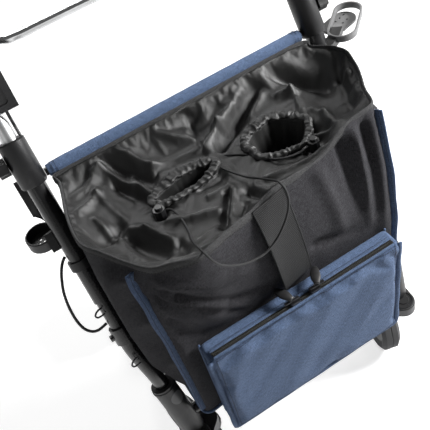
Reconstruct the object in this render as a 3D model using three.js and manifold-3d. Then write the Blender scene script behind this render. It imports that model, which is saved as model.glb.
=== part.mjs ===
// Shopping rollator: an open shopping bag hung from a padded bar between two raked front tubes,
// with swivelling front castors, a rear leg frame that folds forward and a telescopic handle frame.
// Millimetres, +Z up, +X to the user's right hand side of the picture, the pocket faces -Y.
import * as THREE from 'three';
import { mergeVertices } from 'three/addons/utils/BufferGeometryUtils.js';
import Module from 'manifold-3d';

const wasm = await Module();
wasm.setup();

// Clearances shared by everything that touches, slides or turns
const seat_gap = 0.3;
const overrun = 4;
const wall_thin = 1.5;

// Stance of the frame
const bar_height = 620;
const tube_half_spread = 228;
const tube_lean_deg = 24.7;

// Front tubes, measured along the tube from the crossbar
const tube_radius = 14;
const tube_bore_radius = 12.3;
const tube_top = 15;
const tube_bottom = -200;
const crossbar_radius = 6;
const crossbar_cover_radius = 9.3;
const crossbar_cover_half_length = 205;

// Sleeves at the tube tops and their clamp knobs
const sleeve_radius = 19;
const sleeve_low = -8;
const sleeve_high = 58;
const knob_radius = 13;
const knob_length = 15;
const knob_station = 30;
const knob_shank_radius = 3;
const knob_lobes = 6;

// Lower tubes, castor legs and castor heads
const lower_tube_radius = 11.9;
const lower_tube_inset = 30;
const pivot_station = -262;
const leg_radius = 19;
const leg_top = [216, -155, 282];
const leg_end = [208, -178, 200];
const leg_collar_height = 9;
const leg_socket_depth = 30;
const head_height = 160;
const head_thickness = 18;
const head_cap = [205, -205];
const head_cap_height = 5;
const head_lobe_radius = 20;
const lower_crossbar_radius = 10;

// Castors
const wheel_radius = 75;
const castor_axis = [184, -186];
const castor_trail = 55;
const castor_left_deg = 165;
const castor_right_deg = 195;
const castor_width = 34;
const spindle_radius = 6;
const fork_wall = 4;
const fork_arm_half_width = 13;
const axle_radius = 4;
const rim_radius = 57;
const hub_radius = 15;

// Rear leg frame
const rear_axle_back = 235;
const rear_track = 209;
const rear_width = 30;
const rear_leg_radius = 11;
const rear_leg_top_x = 198;
const rear_leg_foot_x = 180;
const eye_radius = 13.5;
const eye_bore_radius = 5.4;
const eye_half_width = 10;
const rear_crossbar_share = 0.86;
const rear_crossbar_radius = 10;
const rear_axle_radius = 6;
const brake_share = 0.81;
const brake_shoe_gap = 3;
const brake_arm_thickness = 5;

// Fold struts and the collars that slide on the front tubes
const collar_station = -135;
const collar_radius = 17.5;
const collar_length = 14;
const strut_offset = 27;
const strut_x = 213;
const strut_thickness = 3;
const strut_half_width = 7;
const strut_share = 0.33;

// Handle frame
const stem_radius = 11;
const stem_bottom = -160;
const stem_top = 128;
const housing_width = 65;
const housing_depth = 84;
const housing_tall = 84;
const housing_front = 14;
const housing_rise = 96;
const housing_low = bar_height + housing_rise;
const grip_radius = 16;
const grip_length = 104;
const brake_bar_radius = 6.5;
const brake_bar_drop = 25;

// Bag
const bag_bottom = 226;
const bag_drop = 10;
const bag_top = bar_height - bag_drop;
const bag_back_lift = 8;
const bag_back_top = bag_top + bag_back_lift;
const bag_half_width = 182;
const bag_back = -9.6;
const bag_front_low = -208;
const bag_front_high = -226;
const pocket_top = 424;
const bag_wall = 3;
const mouth_half_width = 226;
const mouth_depth = 262;
const liner_drop = 42;
const liner_height = bag_top - liner_drop;
const liner_thickness = 4;
const liner_inset = 4.8;
const board_thickness = 3;
const board_inset = 2;

// Pocket, its zip and the webbing
const pocket_width = 315;
const pocket_depth = 37;
const pocket_tall = 225;
const pocket_centre_x = 5;
const pocket_corner = 10;
const pocket_gap = 0.8;
const zip_width = 10;
const zip_thickness = 2;
const zip_setback = 9;
const slider_length = 16;
const slider_spread = 16;
const webbing_width = 48;
const webbing_thickness = 2;
const webbing_slant_deg = 6;
const webbing_turn_deg = 8;
const webbing_gap = 4.3;

// Cord locks and cords
const lock_radius = 8;
const lock_height = 15;
const lock_button_radius = 5;
const lock_travel = 4;
const drawcord_radius = 1.5;
const brake_cable_radius = 2.2;

// Cane cup on the left and bottle holder on the right
const cup_radius = 23;
const cup_height = 18;
const cup_wall = 2.5;
const cup_centre = [-257, -8];
const cup_drop = 82;
const cup_rim_height = bar_height - cup_drop;
const drain_radius = 2.3;
const drain_pitch = 7.5;
const spine_width = 14;
const spine_thickness = 4;
const spine_length = 104;
const holder_centre = [292, 8];
const holder_angle_deg = 43.5;
const holder_drop = 23;
const holder_height = bar_height - holder_drop;
const holder_half_width = 22;
const holder_half_length = 48;
const holder_band = 2.5;
const holder_band_height = 10;
const shelf_centre = [291, 24];
const shelf_angle_deg = 16;
const shelf_drop = 9;
const shelf_height = holder_height - shelf_drop;
const shelf_half_width = 20;
const shelf_half_length = 31;
const shelf_thickness = 3;
const shelf_hole_shares = [[-0.65, -0.35], [-0.31, -0.35], [0.03, -0.35], [0.37, -0.35], [-0.03, 0.3], [0.31, 0.3],
  [0.65, 0.3]];
const holder_arm_points = [[240, -20], [258, -10], [274, 4]];
const holder_arm_half_width = 8;
const holder_arm_height = 12;

// Roundness of turned and swept shapes
const fine_sides = 22;
const round_sides = 16;
const small_sides = 10;
const cord_sides = 8;
const bend_steps = 12;
const corner_segments = 4;

const FRAME_BLACK = { color: 0x1b1c1e, roughness: 0.38, metalness: 0.55 };
const PLASTIC_BLACK = { color: 0x161617, roughness: 0.55, metalness: 0 };
const ALUMINIUM = { color: 0xd4d6d8, roughness: 0.24, metalness: 1 };
const STEEL = { color: 0x9a9c9e, roughness: 0.35, metalness: 1 };
const TYRE_GREY = { color: 0x8b8a88, roughness: 0.8, metalness: 0 };
const RIM_BLACK = { color: 0x222325, roughness: 0.5, metalness: 0 };
const GREY_PLASTIC = { color: 0x8a8b8c, roughness: 0.5, metalness: 0 };
const FABRIC_BLACK = { color: 0x2c2d30, roughness: 0.9, metalness: 0 };
const LINER_BLACK = { color: 0x1a1a1c, roughness: 0.4, metalness: 0 };
const FABRIC_BLUE = { color: 0x4a6288, roughness: 0.9, metalness: 0 };
const CORD_BLACK = { color: 0x121213, roughness: 0.7, metalness: 0 };

const rollator = new THREE.Group();
const SIDES = [[-1, 'left'], [1, 'right']];
const tube_lean = THREE.MathUtils.degToRad(tube_lean_deg);

// A point on a front tube's axis, given its distance along the tube from the crossbar
function tubePoint(station, x = tube_half_spread, behind = 0) {
  return new THREE.Vector3(
    x,
    station * Math.sin(tube_lean) + behind * Math.cos(tube_lean),
    bar_height + station * Math.cos(tube_lean) - behind * Math.sin(tube_lean),
  );
}

// Welds a geometry, drops flat triangles and turns it so that its faces point out
function closed(geometry) {
  const bare = geometry.index ? geometry.toNonIndexed() : geometry.clone();
  bare.deleteAttribute('normal');
  bare.deleteAttribute('uv');
  const welded = mergeVertices(bare);
  const index = welded.index.array;
  const place = welded.attributes.position;
  const [a, b, c] = [new THREE.Vector3(), new THREE.Vector3(), new THREE.Vector3()];
  const kept = [];
  let volume = 0;
  for (let i = 0; i < index.length; i += 3) {
    const [p, q, r] = [index[i], index[i + 1], index[i + 2]];
    if (p === q || q === r || r === p) continue;
    kept.push(p, q, r);
    a.fromBufferAttribute(place, p);
    b.fromBufferAttribute(place, q);
    c.fromBufferAttribute(place, r);
    volume += a.dot(b.cross(c));
  }
  if (volume < 0) kept.reverse();
  welded.setIndex(kept);
  welded.computeVertexNormals();
  return welded;
}

function toManifold(geometry) {
  const shape = closed(geometry);
  return new wasm.Manifold(new wasm.Mesh({
    numProp: 3,
    vertProperties: new Float32Array(shape.attributes.position.array),
    triVerts: new Uint32Array(shape.index.array),
  }));
}

function fromManifold(solid) {
  const mesh = solid.getMesh();
  const geometry = new THREE.BufferGeometry();
  geometry.setAttribute('position', new THREE.BufferAttribute(mesh.vertProperties, mesh.numProp));
  geometry.setIndex(new THREE.BufferAttribute(mesh.triVerts, 1));
  return geometry;
}

function join(first, ...others) {
  return fromManifold(others.reduce((sum, next) => sum.add(toManifold(next)), toManifold(first)));
}

function cut(first, ...tools) {
  return fromManifold(tools.reduce((rest, tool) => rest.subtract(toManifold(tool)), toManifold(first)));
}

function add(name, geometry, finish, parent = rollator) {
  const mesh = new THREE.Mesh(closed(geometry), new THREE.MeshStandardMaterial(finish));
  mesh.name = name;
  parent.add(mesh);
  return mesh;
}

// Turned shapes stand on Z: each profile point is a radius and a height
function turned(profile, sides = round_sides) {
  const outline = profile.map(([radius, height]) => new THREE.Vector2(radius, height));
  return new THREE.LatheGeometry(outline, sides).rotateX(Math.PI / 2);
}

function rod(radius, low, high, sides = round_sides, edge = radius / 8) {
  return turned([
    [0, low], [radius - edge, low], [radius, low + edge],
    [radius, high - edge], [radius - edge, high], [0, high],
  ], sides);
}

function bore(radius, low, high, sides = round_sides) {
  return rod(radius, low, high, sides, 0);
}

function ring(inner, outer, low, high, sides = round_sides) {
  return turned([[inner, low], [outer, low], [outer, high], [inner, high], [inner, low]], sides);
}

function roundSection(radius, sides) {
  const points = [];
  for (let k = 0; k < sides; k += 1) {
    const angle = (2 * Math.PI * k) / sides;
    points.push(new THREE.Vector2(radius * Math.cos(angle), radius * Math.sin(angle)));
  }
  return new THREE.Shape(points);
}

// A round bar or cord swept along a smooth curve through the given points
function swept(radius, points, steps, sides = small_sides) {
  const path = new THREE.CatmullRomCurve3(points.map((p) => (p.isVector3 ? p : new THREE.Vector3(...p))));
  return new THREE.ExtrudeGeometry(roundSection(radius, sides), { steps, extrudePath: path });
}

// A straight rod between two points
function strutRod(radius, from, to, sides = round_sides, low = 0, high = from.distanceTo(to)) {
  const turn = new THREE.Quaternion().setFromUnitVectors(
    new THREE.Vector3(0, 0, 1), to.clone().sub(from).normalize(),
  );
  return rod(radius, low, high, sides, radius / 16).applyQuaternion(turn).translate(...from.toArray());
}

function roundedRectangle(width, height, corner) {
  const [x, y] = [width / 2 - corner, height / 2 - corner];
  const shape = new THREE.Shape();
  shape.absarc(x, y, corner, 0, Math.PI / 2);
  shape.absarc(-x, y, corner, Math.PI / 2, Math.PI);
  shape.absarc(-x, -y, corner, Math.PI, 1.5 * Math.PI);
  shape.absarc(x, -y, corner, 1.5 * Math.PI, 2 * Math.PI);
  return shape;
}

// A plate drawn in XY, raised along Z, centred on its own thickness
function plate(shape, thickness, curveSegments = corner_segments) {
  return new THREE.ExtrudeGeometry(shape, { depth: thickness, bevelEnabled: false, curveSegments })
    .translate(0, 0, -thickness / 2);
}

// A plate that runs round the given points of a plane, listed anticlockwise, at a set distance
function lobed(points, radius, thickness) {
  const shape = new THREE.Shape();
  const heading = (from, to) => Math.atan2(to[1] - from[1], to[0] - from[0]) - Math.PI / 2;
  points.forEach((point, i) => {
    const before = points[(i + points.length - 1) % points.length];
    const after = points[(i + 1) % points.length];
    shape.absarc(...point, radius, heading(before, point), heading(point, after));
  });
  return plate(shape, thickness);
}

// Turns a shape drawn in XY and raised along Z so that it stands in the YZ plane, raised along X
function acrossX(geometry) {
  return geometry.applyMatrix4(new THREE.Matrix4().makeBasis(
    new THREE.Vector3(0, 1, 0), new THREE.Vector3(0, 0, 1), new THREE.Vector3(1, 0, 0),
  ));
}

const mirrored = (geometry, side) => geometry.scale(side, 1, 1);

// Front tubes: hollow, open at the top for the handle stems
function tubeFrame(side) {
  const frame = new THREE.Group();
  frame.position.set(side * tube_half_spread, 0, bar_height);
  frame.rotation.x = -tube_lean;
  rollator.add(frame);
  return frame;
}

function frontTube(side, label, frame) {
  const tube = ring(tube_bore_radius, tube_radius, tube_bottom, tube_top);
  add(`front_tube_${label}`, tube, FRAME_BLACK, frame);
}

// The sleeve caps the tube, guides the stem and carries the clamp knob and the cable's entry
function tubeSleeve(side, label, frame) {
  const lip = sleeve_radius / 10;
  const body = turned([
    [tube_radius + seat_gap, sleeve_low], [sleeve_radius - lip / 2, sleeve_low],
    [sleeve_radius, sleeve_low + lip], [sleeve_radius, sleeve_high - lip],
    [sleeve_radius - lip, sleeve_high], [stem_radius + seat_gap, sleeve_high],
    [stem_radius + seat_gap, tube_top + seat_gap], [tube_radius + seat_gap, tube_top + seat_gap],
    [tube_radius + seat_gap, sleeve_low],
  ]);
  const shank = bore(knob_shank_radius + seat_gap, 0, sleeve_radius + overrun, small_sides)
    .rotateY(Math.PI / 2).translate(0, 0, knob_station);
  const entry = bore(brake_cable_radius + seat_gap, cable_entry_station, sleeve_high + overrun, small_sides)
    .translate(-cable_entry_radius, 0, 0);
  add(`tube_sleeve_${label}`, mirrored(cut(body, shank, entry), side), PLASTIC_BLACK, frame);
}
const cable_entry_station = (tube_top + sleeve_high) / 2;
const cable_entry_radius = (stem_radius + sleeve_radius) / 2 + seat_gap / 2;

// Star knob that clamps the handle stem
function clampKnob(side, label, frame) {
  const shape = new THREE.Shape();
  const steps = knob_lobes * 4;
  const wave = knob_radius / 10;
  for (let k = 0; k < steps; k += 1) {
    const angle = (2 * Math.PI * k) / steps;
    const radius = knob_radius - wave + wave * Math.cos(knob_lobes * angle);
    const point = [radius * Math.cos(angle), radius * Math.sin(angle)];
    if (k === 0) shape.moveTo(...point);
    else shape.lineTo(...point);
  }
  const head = plate(shape, knob_length).translate(0, 0, sleeve_radius + seat_gap + knob_length / 2);
  const shank = rod(knob_shank_radius, stem_radius + seat_gap, sleeve_radius + knob_length / 2, small_sides);
  const knob = join(head, shank).rotateY(Math.PI / 2).translate(0, 0, knob_station);
  add(`height_knob_${label}`, mirrored(knob, side), PLASTIC_BLACK, frame);
}

// Collar that slides on the front tube when the rear legs fold, with a lug for the strut's pin
function braceCollar(side, label, frame) {
  const body = ring(tube_radius + seat_gap, collar_radius, 0, collar_length)
    .translate(0, 0, collar_station - collar_length / 2);
  const lug_x = strut_x + strut_thickness + seat_gap - tube_half_spread;
  const lug = acrossX(lobed([[tube_radius, 0], [strut_offset, 0]], strut_half_width, strut_thickness))
    .translate(lug_x, 0, collar_station);
  const pin = rod(strut_half_width / 2, -strut_thickness * 2, 0, small_sides)
    .rotateY(Math.PI / 2).translate(lug_x, strut_offset, collar_station);
  const room = bore(tube_radius + seat_gap, collar_station - collar_length, collar_station + collar_length);
  add(`brace_collar_${label}`, mirrored(cut(join(body, lug, pin), room), side), PLASTIC_BLACK, frame);
}

function handleStem(side, label, frame) {
  const tube = ring(stem_radius - wall_thin, stem_radius, stem_bottom, stem_top);
  add(`handle_stem_${label}`, tube, ALUMINIUM, frame);
}

// Lower tube: straight past the fold pivot, then bent inwards to the castor head's socket.
// Its clamp carries the pin that the rear leg turns on and a boss for the cable's end.
const pivot = tubePoint(pivot_station);
const leg_axis = new THREE.Vector3(...leg_top).sub(new THREE.Vector3(...leg_end)).normalize();
function lowerTube(side, label) {
  const top = tubePoint(tube_bottom + lower_tube_inset);
  const bend = tubePoint(pivot_station - eye_radius * 2);
  const mouth = new THREE.Vector3(...leg_top);
  const inLeg = [-0.5, -0.2, 0.1, 0.5, 0.97].map((share) => share * leg_socket_depth)
    .map((depth) => mouth.clone().addScaledVector(leg_axis, -depth));
  const points = [top, top.clone().lerp(pivot, 0.5), pivot, bend, ...inLeg];
  const tube = swept(lower_tube_radius, points, bend_steps + cord_sides, round_sides);
  const clamp = ring(lower_tube_radius - wall_thin, lower_tube_radius + fork_wall, 0, eye_radius * 2)
    .translate(0, 0, -eye_radius)
    .rotateX(-tube_lean).translate(...pivot.toArray());
  const pin_end = rear_leg_top_x - eye_half_width - seat_gap * 4;
  const pin = rod(eye_bore_radius - seat_gap, pin_end, pivot.x - lower_tube_radius + wall_thin, small_sides)
    .rotateY(Math.PI / 2).translate(0, pivot.y, pivot.z);
  const boss = rod(eye_bore_radius, lower_tube_radius - wall_thin, lower_tube_radius + fork_wall * 2, small_sides)
    .rotateY(Math.PI / 2).translate(...pivot.toArray());
  add(`lower_tube_${label}`, mirrored(join(tube, clamp, pin, boss), side), FRAME_BLACK);
}

// Castor head: one moulding with a collared socket for the lower tube, a lobe for the round cap
// and a lobe for the castor's spindle
function castorHead(side, label) {
  const lobes = [castor_axis, head_cap, [leg_end[0], leg_end[1]]];
  const base = lobed(lobes, head_lobe_radius, head_thickness)
    .translate(0, 0, head_height + head_thickness / 2);
  const step = head_cap_height / 4;
  const cap = turned([
    [0, -head_cap_height], [head_lobe_radius * 0.95, -head_cap_height], [head_lobe_radius * 0.95, head_cap_height - step],
    [head_lobe_radius * 0.89, head_cap_height], [head_lobe_radius * 0.75, head_cap_height],
    [head_lobe_radius * 0.71, head_cap_height - step], [head_lobe_radius * 0.5, head_cap_height - step],
    [head_lobe_radius * 0.46, head_cap_height], [0, head_cap_height],
  ], fine_sides).translate(...head_cap, head_height + head_thickness);
  const up = new THREE.Vector3(0, 0, 1);
  const turn = new THREE.Quaternion().setFromUnitVectors(up, leg_axis);
  const foot = new THREE.Vector3(...leg_end)
    .addScaledVector(leg_axis, head_height + head_thickness / 2 - leg_end[2]);
  const length = foot.distanceTo(new THREE.Vector3(...leg_top));
  const bead = leg_radius / 20;
  const inner = lower_tube_radius + seat_gap;
  const leg = turned([
    [0, 0], [leg_radius, 0], [leg_radius, length - leg_collar_height],
    [leg_radius + bead, length - leg_collar_height], [leg_radius + bead, length - leg_collar_height / 2],
    [leg_radius, length - leg_collar_height / 2], [leg_radius, length], [inner, length],
    [inner, length - leg_socket_depth], [0, length - leg_socket_depth],
  ], fine_sides).applyQuaternion(turn).translate(...foot.toArray());
  const socket = bore(spindle_radius + seat_gap, -overrun, head_thickness - fork_wall)
    .translate(...castor_axis, head_height);
  const head = cut(join(base, cap, leg), socket);
  add(`castor_head_${label}`, mirrored(head, side), PLASTIC_BLACK);
}

// Wheels: a rounded tyre around a spoked-look rim with a hub, both turned about the axle
function tyre(width) {
  const [tread, shoulder] = [width * 0.32, width * 0.5];
  const groove = width * 0.04;
  return turned([
    [rim_radius + seat_gap, -shoulder * 0.8], [wheel_radius * 0.9, -shoulder],
    [wheel_radius, -tread], [wheel_radius, -groove], [wheel_radius - groove, 0],
    [wheel_radius, groove], [wheel_radius, tread], [wheel_radius * 0.9, shoulder],
    [rim_radius + seat_gap, shoulder * 0.8], [rim_radius + seat_gap, -shoulder * 0.8],
  ], fine_sides);
}

function rim(width, bore) {
  const [edge, web] = [width * 0.38, width * 0.14];
  return turned([
    [bore, -width / 2], [hub_radius, -width / 2], [hub_radius, -web], [rim_radius * 0.92, -edge],
    [rim_radius, -edge], [rim_radius, edge], [rim_radius * 0.92, edge], [hub_radius, web],
    [hub_radius, width / 2], [bore, width / 2], [bore, -width / 2],
  ], fine_sides);
}

// A lathe's first vertex goes to the ground, so that the wheel stands on it
function onAxle(geometry) {
  return geometry.rotateY(Math.PI / 2).rotateX(Math.PI / 2);
}

function castor(side, label, swivel_deg) {
  const swivel = new THREE.Group();
  swivel.position.set(side * castor_axis[0], castor_axis[1], 0);
  swivel.rotation.z = THREE.MathUtils.degToRad(180 - swivel_deg);
  rollator.add(swivel);
  const crown_top = head_height - seat_gap;
  const half = castor_width / 2 + fork_wall / 2;
  const crown_low = wheel_radius * 2 + fork_wall / 2;
  const crown_half = (crown_top - crown_low) / 2;
  const crown = plate(roundedRectangle(2 * (half + fork_wall), castor_trail, head_lobe_radius), 2 * crown_half)
    .translate(0, castor_trail / 6, crown_top - crown_half);
  const arms = [-1, 1].map((hand) => acrossX(
    lobed([[castor_trail / 6, crown_top - fork_arm_half_width], [castor_trail, wheel_radius]],
      fork_arm_half_width, fork_wall),
  ).translate(hand * (half + fork_wall / 2), 0, 0));
  const axle = rod(axle_radius, -half - fork_wall, half + fork_wall, small_sides)
    .rotateY(Math.PI / 2).translate(0, castor_trail, wheel_radius);
  const spindle = rod(spindle_radius, 0, head_thickness - fork_wall - seat_gap)
    .translate(0, 0, crown_top - overrun / 2);
  add(`castor_fork_${label}`, join(crown, ...arms, axle, spindle), PLASTIC_BLACK, swivel);
  add(`castor_tyre_${label}`, onAxle(tyre(castor_width)).translate(0, castor_trail, wheel_radius),
    TYRE_GREY, swivel);
  add(`castor_rim_${label}`, onAxle(rim(castor_width, axle_radius + seat_gap))
    .translate(0, castor_trail, wheel_radius), RIM_BLACK, swivel);
}

// Rear legs: an eye on the pivot pin, a leg bent inwards and an axle stub at its foot
const axle_foot = new THREE.Vector3(rear_leg_foot_x, rear_axle_back, wheel_radius);
function alongRearLeg(share) {
  const inward = THREE.MathUtils.clamp((share - 0.45) / 0.3, 0, 1);
  const x = THREE.MathUtils.lerp(rear_leg_top_x, rear_leg_foot_x, inward);
  return new THREE.Vector3(
    x,
    THREE.MathUtils.lerp(pivot.y, axle_foot.y, share),
    THREE.MathUtils.lerp(pivot.z, axle_foot.z, share),
  );
}

function rearLeg(side, label) {
  const points = [0.02, 0.25, 0.45, 0.6, 0.75, 0.88, 1].map(alongRearLeg);
  const leg = swept(rear_leg_radius, points, bend_steps, round_sides);
  const eye = rod(eye_radius, -eye_half_width, eye_half_width, round_sides)
    .rotateY(Math.PI / 2).translate(rear_leg_top_x, pivot.y, pivot.z);
  const hole = bore(eye_bore_radius, -eye_half_width - overrun, eye_half_width + overrun)
    .rotateY(Math.PI / 2).translate(rear_leg_top_x, pivot.y, pivot.z);
  const foot = new THREE.SphereGeometry(rear_leg_radius * 1.1, small_sides, cord_sides)
    .translate(...axle_foot.toArray());
  const stub = rod(rear_axle_radius, 0, rear_track + rear_width / 2 + fork_wall - rear_leg_foot_x)
    .rotateY(Math.PI / 2).translate(...axle_foot.toArray());
  add(`rear_leg_${label}`, mirrored(join(cut(join(leg, eye), hole), foot, stub), side), FRAME_BLACK);
}

function rearWheel(side, label) {
  const x = side * rear_track;
  add(`rear_tyre_${label}`, onAxle(tyre(rear_width)).translate(x, rear_axle_back, wheel_radius), TYRE_GREY);
  add(`rear_rim_${label}`, onAxle(rim(rear_width, rear_axle_radius + seat_gap))
    .translate(x, rear_axle_back, wheel_radius), RIM_BLACK);
}

// Brake shoe: a lever pinned to the rear leg's outer side with a pad just off the tyre
const brake_pivot = alongRearLeg(brake_share);
function brakeShoe(side, label) {
  const to_axle = new THREE.Vector2(axle_foot.y - brake_pivot.y, axle_foot.z - brake_pivot.z);
  const span = to_axle.length();
  const inner = brake_pivot.x + rear_leg_radius + seat_gap;
  const reach = span - wheel_radius - brake_shoe_gap;
  const pad = new THREE.BoxGeometry(rear_width - seat_gap * 10, reach / 3, rear_leg_radius * 2)
    .translate(rear_track - inner, reach - reach / 6, 0);
  const arm = new THREE.BoxGeometry(rear_track - inner, reach, rear_leg_radius)
    .translate((rear_track - inner) / 2, reach / 2, 0);
  const lever = join(pad, arm)
    .rotateX(Math.atan2(to_axle.y, to_axle.x))
    .translate(inner, brake_pivot.y, brake_pivot.z);
  add(`brake_shoe_${label}`, mirrored(lever, side), PLASTIC_BLACK);
}

// Flat strut from the sliding collar to the rear leg's outer side; it stops short of a fixed pin there
function braceStrut(side, label) {
  const top = tubePoint(collar_station, strut_x, strut_offset);
  const foot = alongRearLeg(strut_share);
  const bar = acrossX(lobed([[top.y, top.z], [foot.y, foot.z]], strut_half_width, strut_thickness));
  const hole = acrossX(bore(strut_half_width / 2 + seat_gap, -overrun, overrun, small_sides))
    .translate(0, top.y, top.z);
  add(`brace_strut_${label}`, mirrored(cut(bar, hole).translate(strut_x, 0, 0), side), STEEL);
}

// Handle housing: a block with a sunk front panel, on top of the stem, with the grip behind it
const housing_profile_shares = [[0, 0], [0.55, 0], [1, 0.45], [1, 1], [0, 1]];
const brake_bar_pivot = new THREE.Vector3(
  0, housing_front + housing_depth * 0.85, housing_low + housing_tall * 0.86,
);
const cable_top_y = tubePoint(sleeve_high).y + brake_cable_radius;
function housing(side, label) {
  const edge = housing_width / 12;
  const profile = housing_profile_shares.map(([back, up]) => [
    housing_front + THREE.MathUtils.lerp(edge, housing_depth - edge, back),
    housing_low + THREE.MathUtils.lerp(edge, housing_tall - edge, up),
  ]);
  const body = acrossX(lobed(profile, edge, housing_width)).translate(tube_half_spread, 0, 0);
  const panel = plate(roundedRectangle(housing_width * 0.72, housing_tall * 0.72, edge), wall_thin * 2)
    .rotateX(Math.PI / 2).translate(tube_half_spread, housing_front, housing_low + housing_tall / 2);
  const socket = bore(stem_radius + seat_gap, 0, stem_top + seat_gap)
    .rotateX(-tube_lean).translate(tube_half_spread, 0, bar_height);
  const cable = bore(brake_cable_radius + seat_gap, -overrun, overrun, small_sides)
    .translate(tube_half_spread - cable_entry_radius, cable_top_y, housing_low);
  const inner = tube_half_spread - housing_width / 2;
  const bar_hole = bore(brake_bar_radius + seat_gap, inner - overrun, tube_half_spread - housing_width / 4)
    .rotateY(Math.PI / 2).translate(0, brake_bar_pivot.y, brake_bar_pivot.z);
  add(`handle_housing_${label}`, mirrored(cut(body, panel, socket, cable, bar_hole), side), PLASTIC_BLACK);
}

function grip(side, label) {
  const rib = grip_radius / 10;
  const body = turned([
    [0, 0], [grip_radius, 0], [grip_radius, grip_length * 0.1], [grip_radius - rib, grip_length * 0.2],
    [grip_radius, grip_length * 0.5], [grip_radius - rib, grip_length * 0.85],
    [grip_radius, grip_length * 0.95], [grip_radius * 0.8, grip_length], [0, grip_length],
  ]).rotateX(-Math.PI / 2);
  const back = housing_front + housing_depth + seat_gap;
  const height = housing_low + housing_tall - grip_radius * 1.2;
  add(`grip_${label}`, body.translate(side * tube_half_spread, back, height), PLASTIC_BLACK);
}

// One brake bar runs between the two housings and dips forward of its pivots
function brakeBar() {
  const reach = tube_half_spread - housing_width / 4 - seat_gap * 2;
  const inner = tube_half_spread - housing_width / 2;
  const [y, z] = [brake_bar_pivot.y, brake_bar_pivot.z];
  const shape_shares = [[1.08, 0], [1.03, 0], [0.985, 0], [0.92, 0.76], [0.82, 1], [0.7, 1]];
  const bent = shape_shares.map(([across, forward]) => new THREE.Vector3(
    Math.min(inner * across, reach), y - brake_bar_drop * forward, z - (brake_bar_drop * forward) / 3,
  ));
  const points = [...bent, ...bent.map((p) => new THREE.Vector3(-p.x, p.y, p.z)).reverse()];
  add('brake_bar', swept(brake_bar_radius, points, bend_steps * 2, small_sides), ALUMINIUM);
}

// Bag outline: shares of the mouth's half width and depth, anticlockwise from the left side,
// with the matching shares of the boxy lower part
const outline_shares = [
  [[-0.925, 0.105], [-1, 0.05]], [[-0.99, 0.345], [-1, 0.35]], [[-1, 0.545], [-1, 0.6]],
  [[-0.91, 0.71], [-1, 0.8]], [[-0.79, 0.865], [-0.98, 0.99]], [[-0.66, 0.945], [-0.8, 1]],
  [[-0.5, 1], [-0.55, 1]], [[-0.27, 0.945], [-0.3, 1]], [[-0.02, 0.88], [0, 1]],
  [[0.22, 0.84], [0.28, 1]], [[0.47, 0.785], [0.55, 1]], [[0.65, 0.75], [0.8, 1]],
  [[0.82, 0.725], [0.98, 0.99]], [[0.875, 0.57], [1, 0.75]], [[0.955, 0.37], [1, 0.45]],
  [[0.98, 0.24], [1, 0.25]], [[0.925, 0.085], [1, 0.03]], [[0.90, 0.037], [0.97, 0]],
  [[0.45, 0.037], [0.5, 0]], [[0, 0.037], [0, 0]], [[-0.45, 0.037], [-0.5, 0]],
  [[-0.90, 0.037], [-0.97, 0]],
];

// Levels of the bag: share of the height, share of the half width, blend towards the mouth's outline
const level_shares = [
  [0, 1, 0], [0.22, 1, 0], [0.41, 1, 0], [0.515, 1, 0], [0.76, 1.01, 0.45], [0.948, 1.02, 0.92], [1, 1.02, 1],
];

function bagRing(share, inset = 0) {
  let k = 1;
  while (k < level_shares.length - 1 && level_shares[k][0] < share) k += 1;
  const [low, high] = [level_shares[k - 1], level_shares[k]];
  const t = (share - low[0]) / (high[0] - low[0]);
  const [width, blend] = [1, 2].map((i) => THREE.MathUtils.lerp(low[i], high[i], t));
  const z = THREE.MathUtils.lerp(bag_bottom, bag_top, share);
  const front = THREE.MathUtils.mapLinear(z, bag_bottom, pocket_top, bag_front_low, bag_front_high);
  const ringPoints = outline_shares.map(([mouth, base]) => new THREE.Vector3(
    THREE.MathUtils.lerp(base[0] * bag_half_width * width, mouth[0] * mouth_half_width, blend),
    THREE.MathUtils.lerp(THREE.MathUtils.lerp(bag_back, front, base[1]), -mouth[1] * mouth_depth, blend),
    z,
  ));
  return ringPoints.map((point, i) => {
    const before = ringPoints[(i + ringPoints.length - 1) % ringPoints.length];
    const after = ringPoints[(i + 1) % ringPoints.length];
    const along = after.clone().sub(before).normalize();
    return new THREE.Vector3(point.x - along.y * inset, point.y + along.x * inset, z);
  });
}

// Stacks rings of equal length into one closed skin, with a flat first and last ring
function skin(rings) {
  const count = rings[0].length;
  const points = rings.flat();
  const index = [];
  for (let level = 0; level + 1 < rings.length; level += 1) {
    for (let k = 0; k < count; k += 1) {
      const [a, b] = [level * count + k, level * count + ((k + 1) % count)];
      index.push(a, b, b + count, a, b + count, a + count);
    }
  }
  const cap = (start, turnOver) => {
    const outline = rings[start === 0 ? 0 : rings.length - 1].map((p) => new THREE.Vector2(p.x, p.y));
    THREE.ShapeUtils.triangulateShape(outline, []).forEach(([a, b, c]) => {
      if (turnOver) index.push(start + c, start + b, start + a);
      else index.push(start + a, start + b, start + c);
    });
  };
  cap(0, true);
  cap((rings.length - 1) * count, false);
  const geometry = new THREE.BufferGeometry();
  geometry.setAttribute('position', new THREE.Float32BufferAttribute(points.flatMap((p) => p.toArray()), 3));
  geometry.setIndex(index);
  return geometry;
}

// Raises the back edge of the mouth to the padded bar
const back_points = 5;
const front_middle = 8;
function raisedBack(points) {
  return points.map((p, i) => {
    const lifted = i < points.length - back_points ? p.z : bag_back_top;
    return new THREE.Vector3(p.x, p.y, lifted);
  });
}

const bag_height = bag_top - bag_bottom;
function bagShell() {
  const outer = level_shares.map(([share]) => bagRing(share));
  outer[outer.length - 1] = raisedBack(outer[outer.length - 1]);
  const floor = bag_wall / bag_height;
  const inner = [floor, ...level_shares.slice(1).map(([share]) => share)].map((share) => bagRing(share, bag_wall));
  inner[inner.length - 1] = raisedBack(inner[inner.length - 1]);
  add('bag_shell', skin([...outer, ...inner.reverse()]), FABRIC_BLACK);
}

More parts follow.
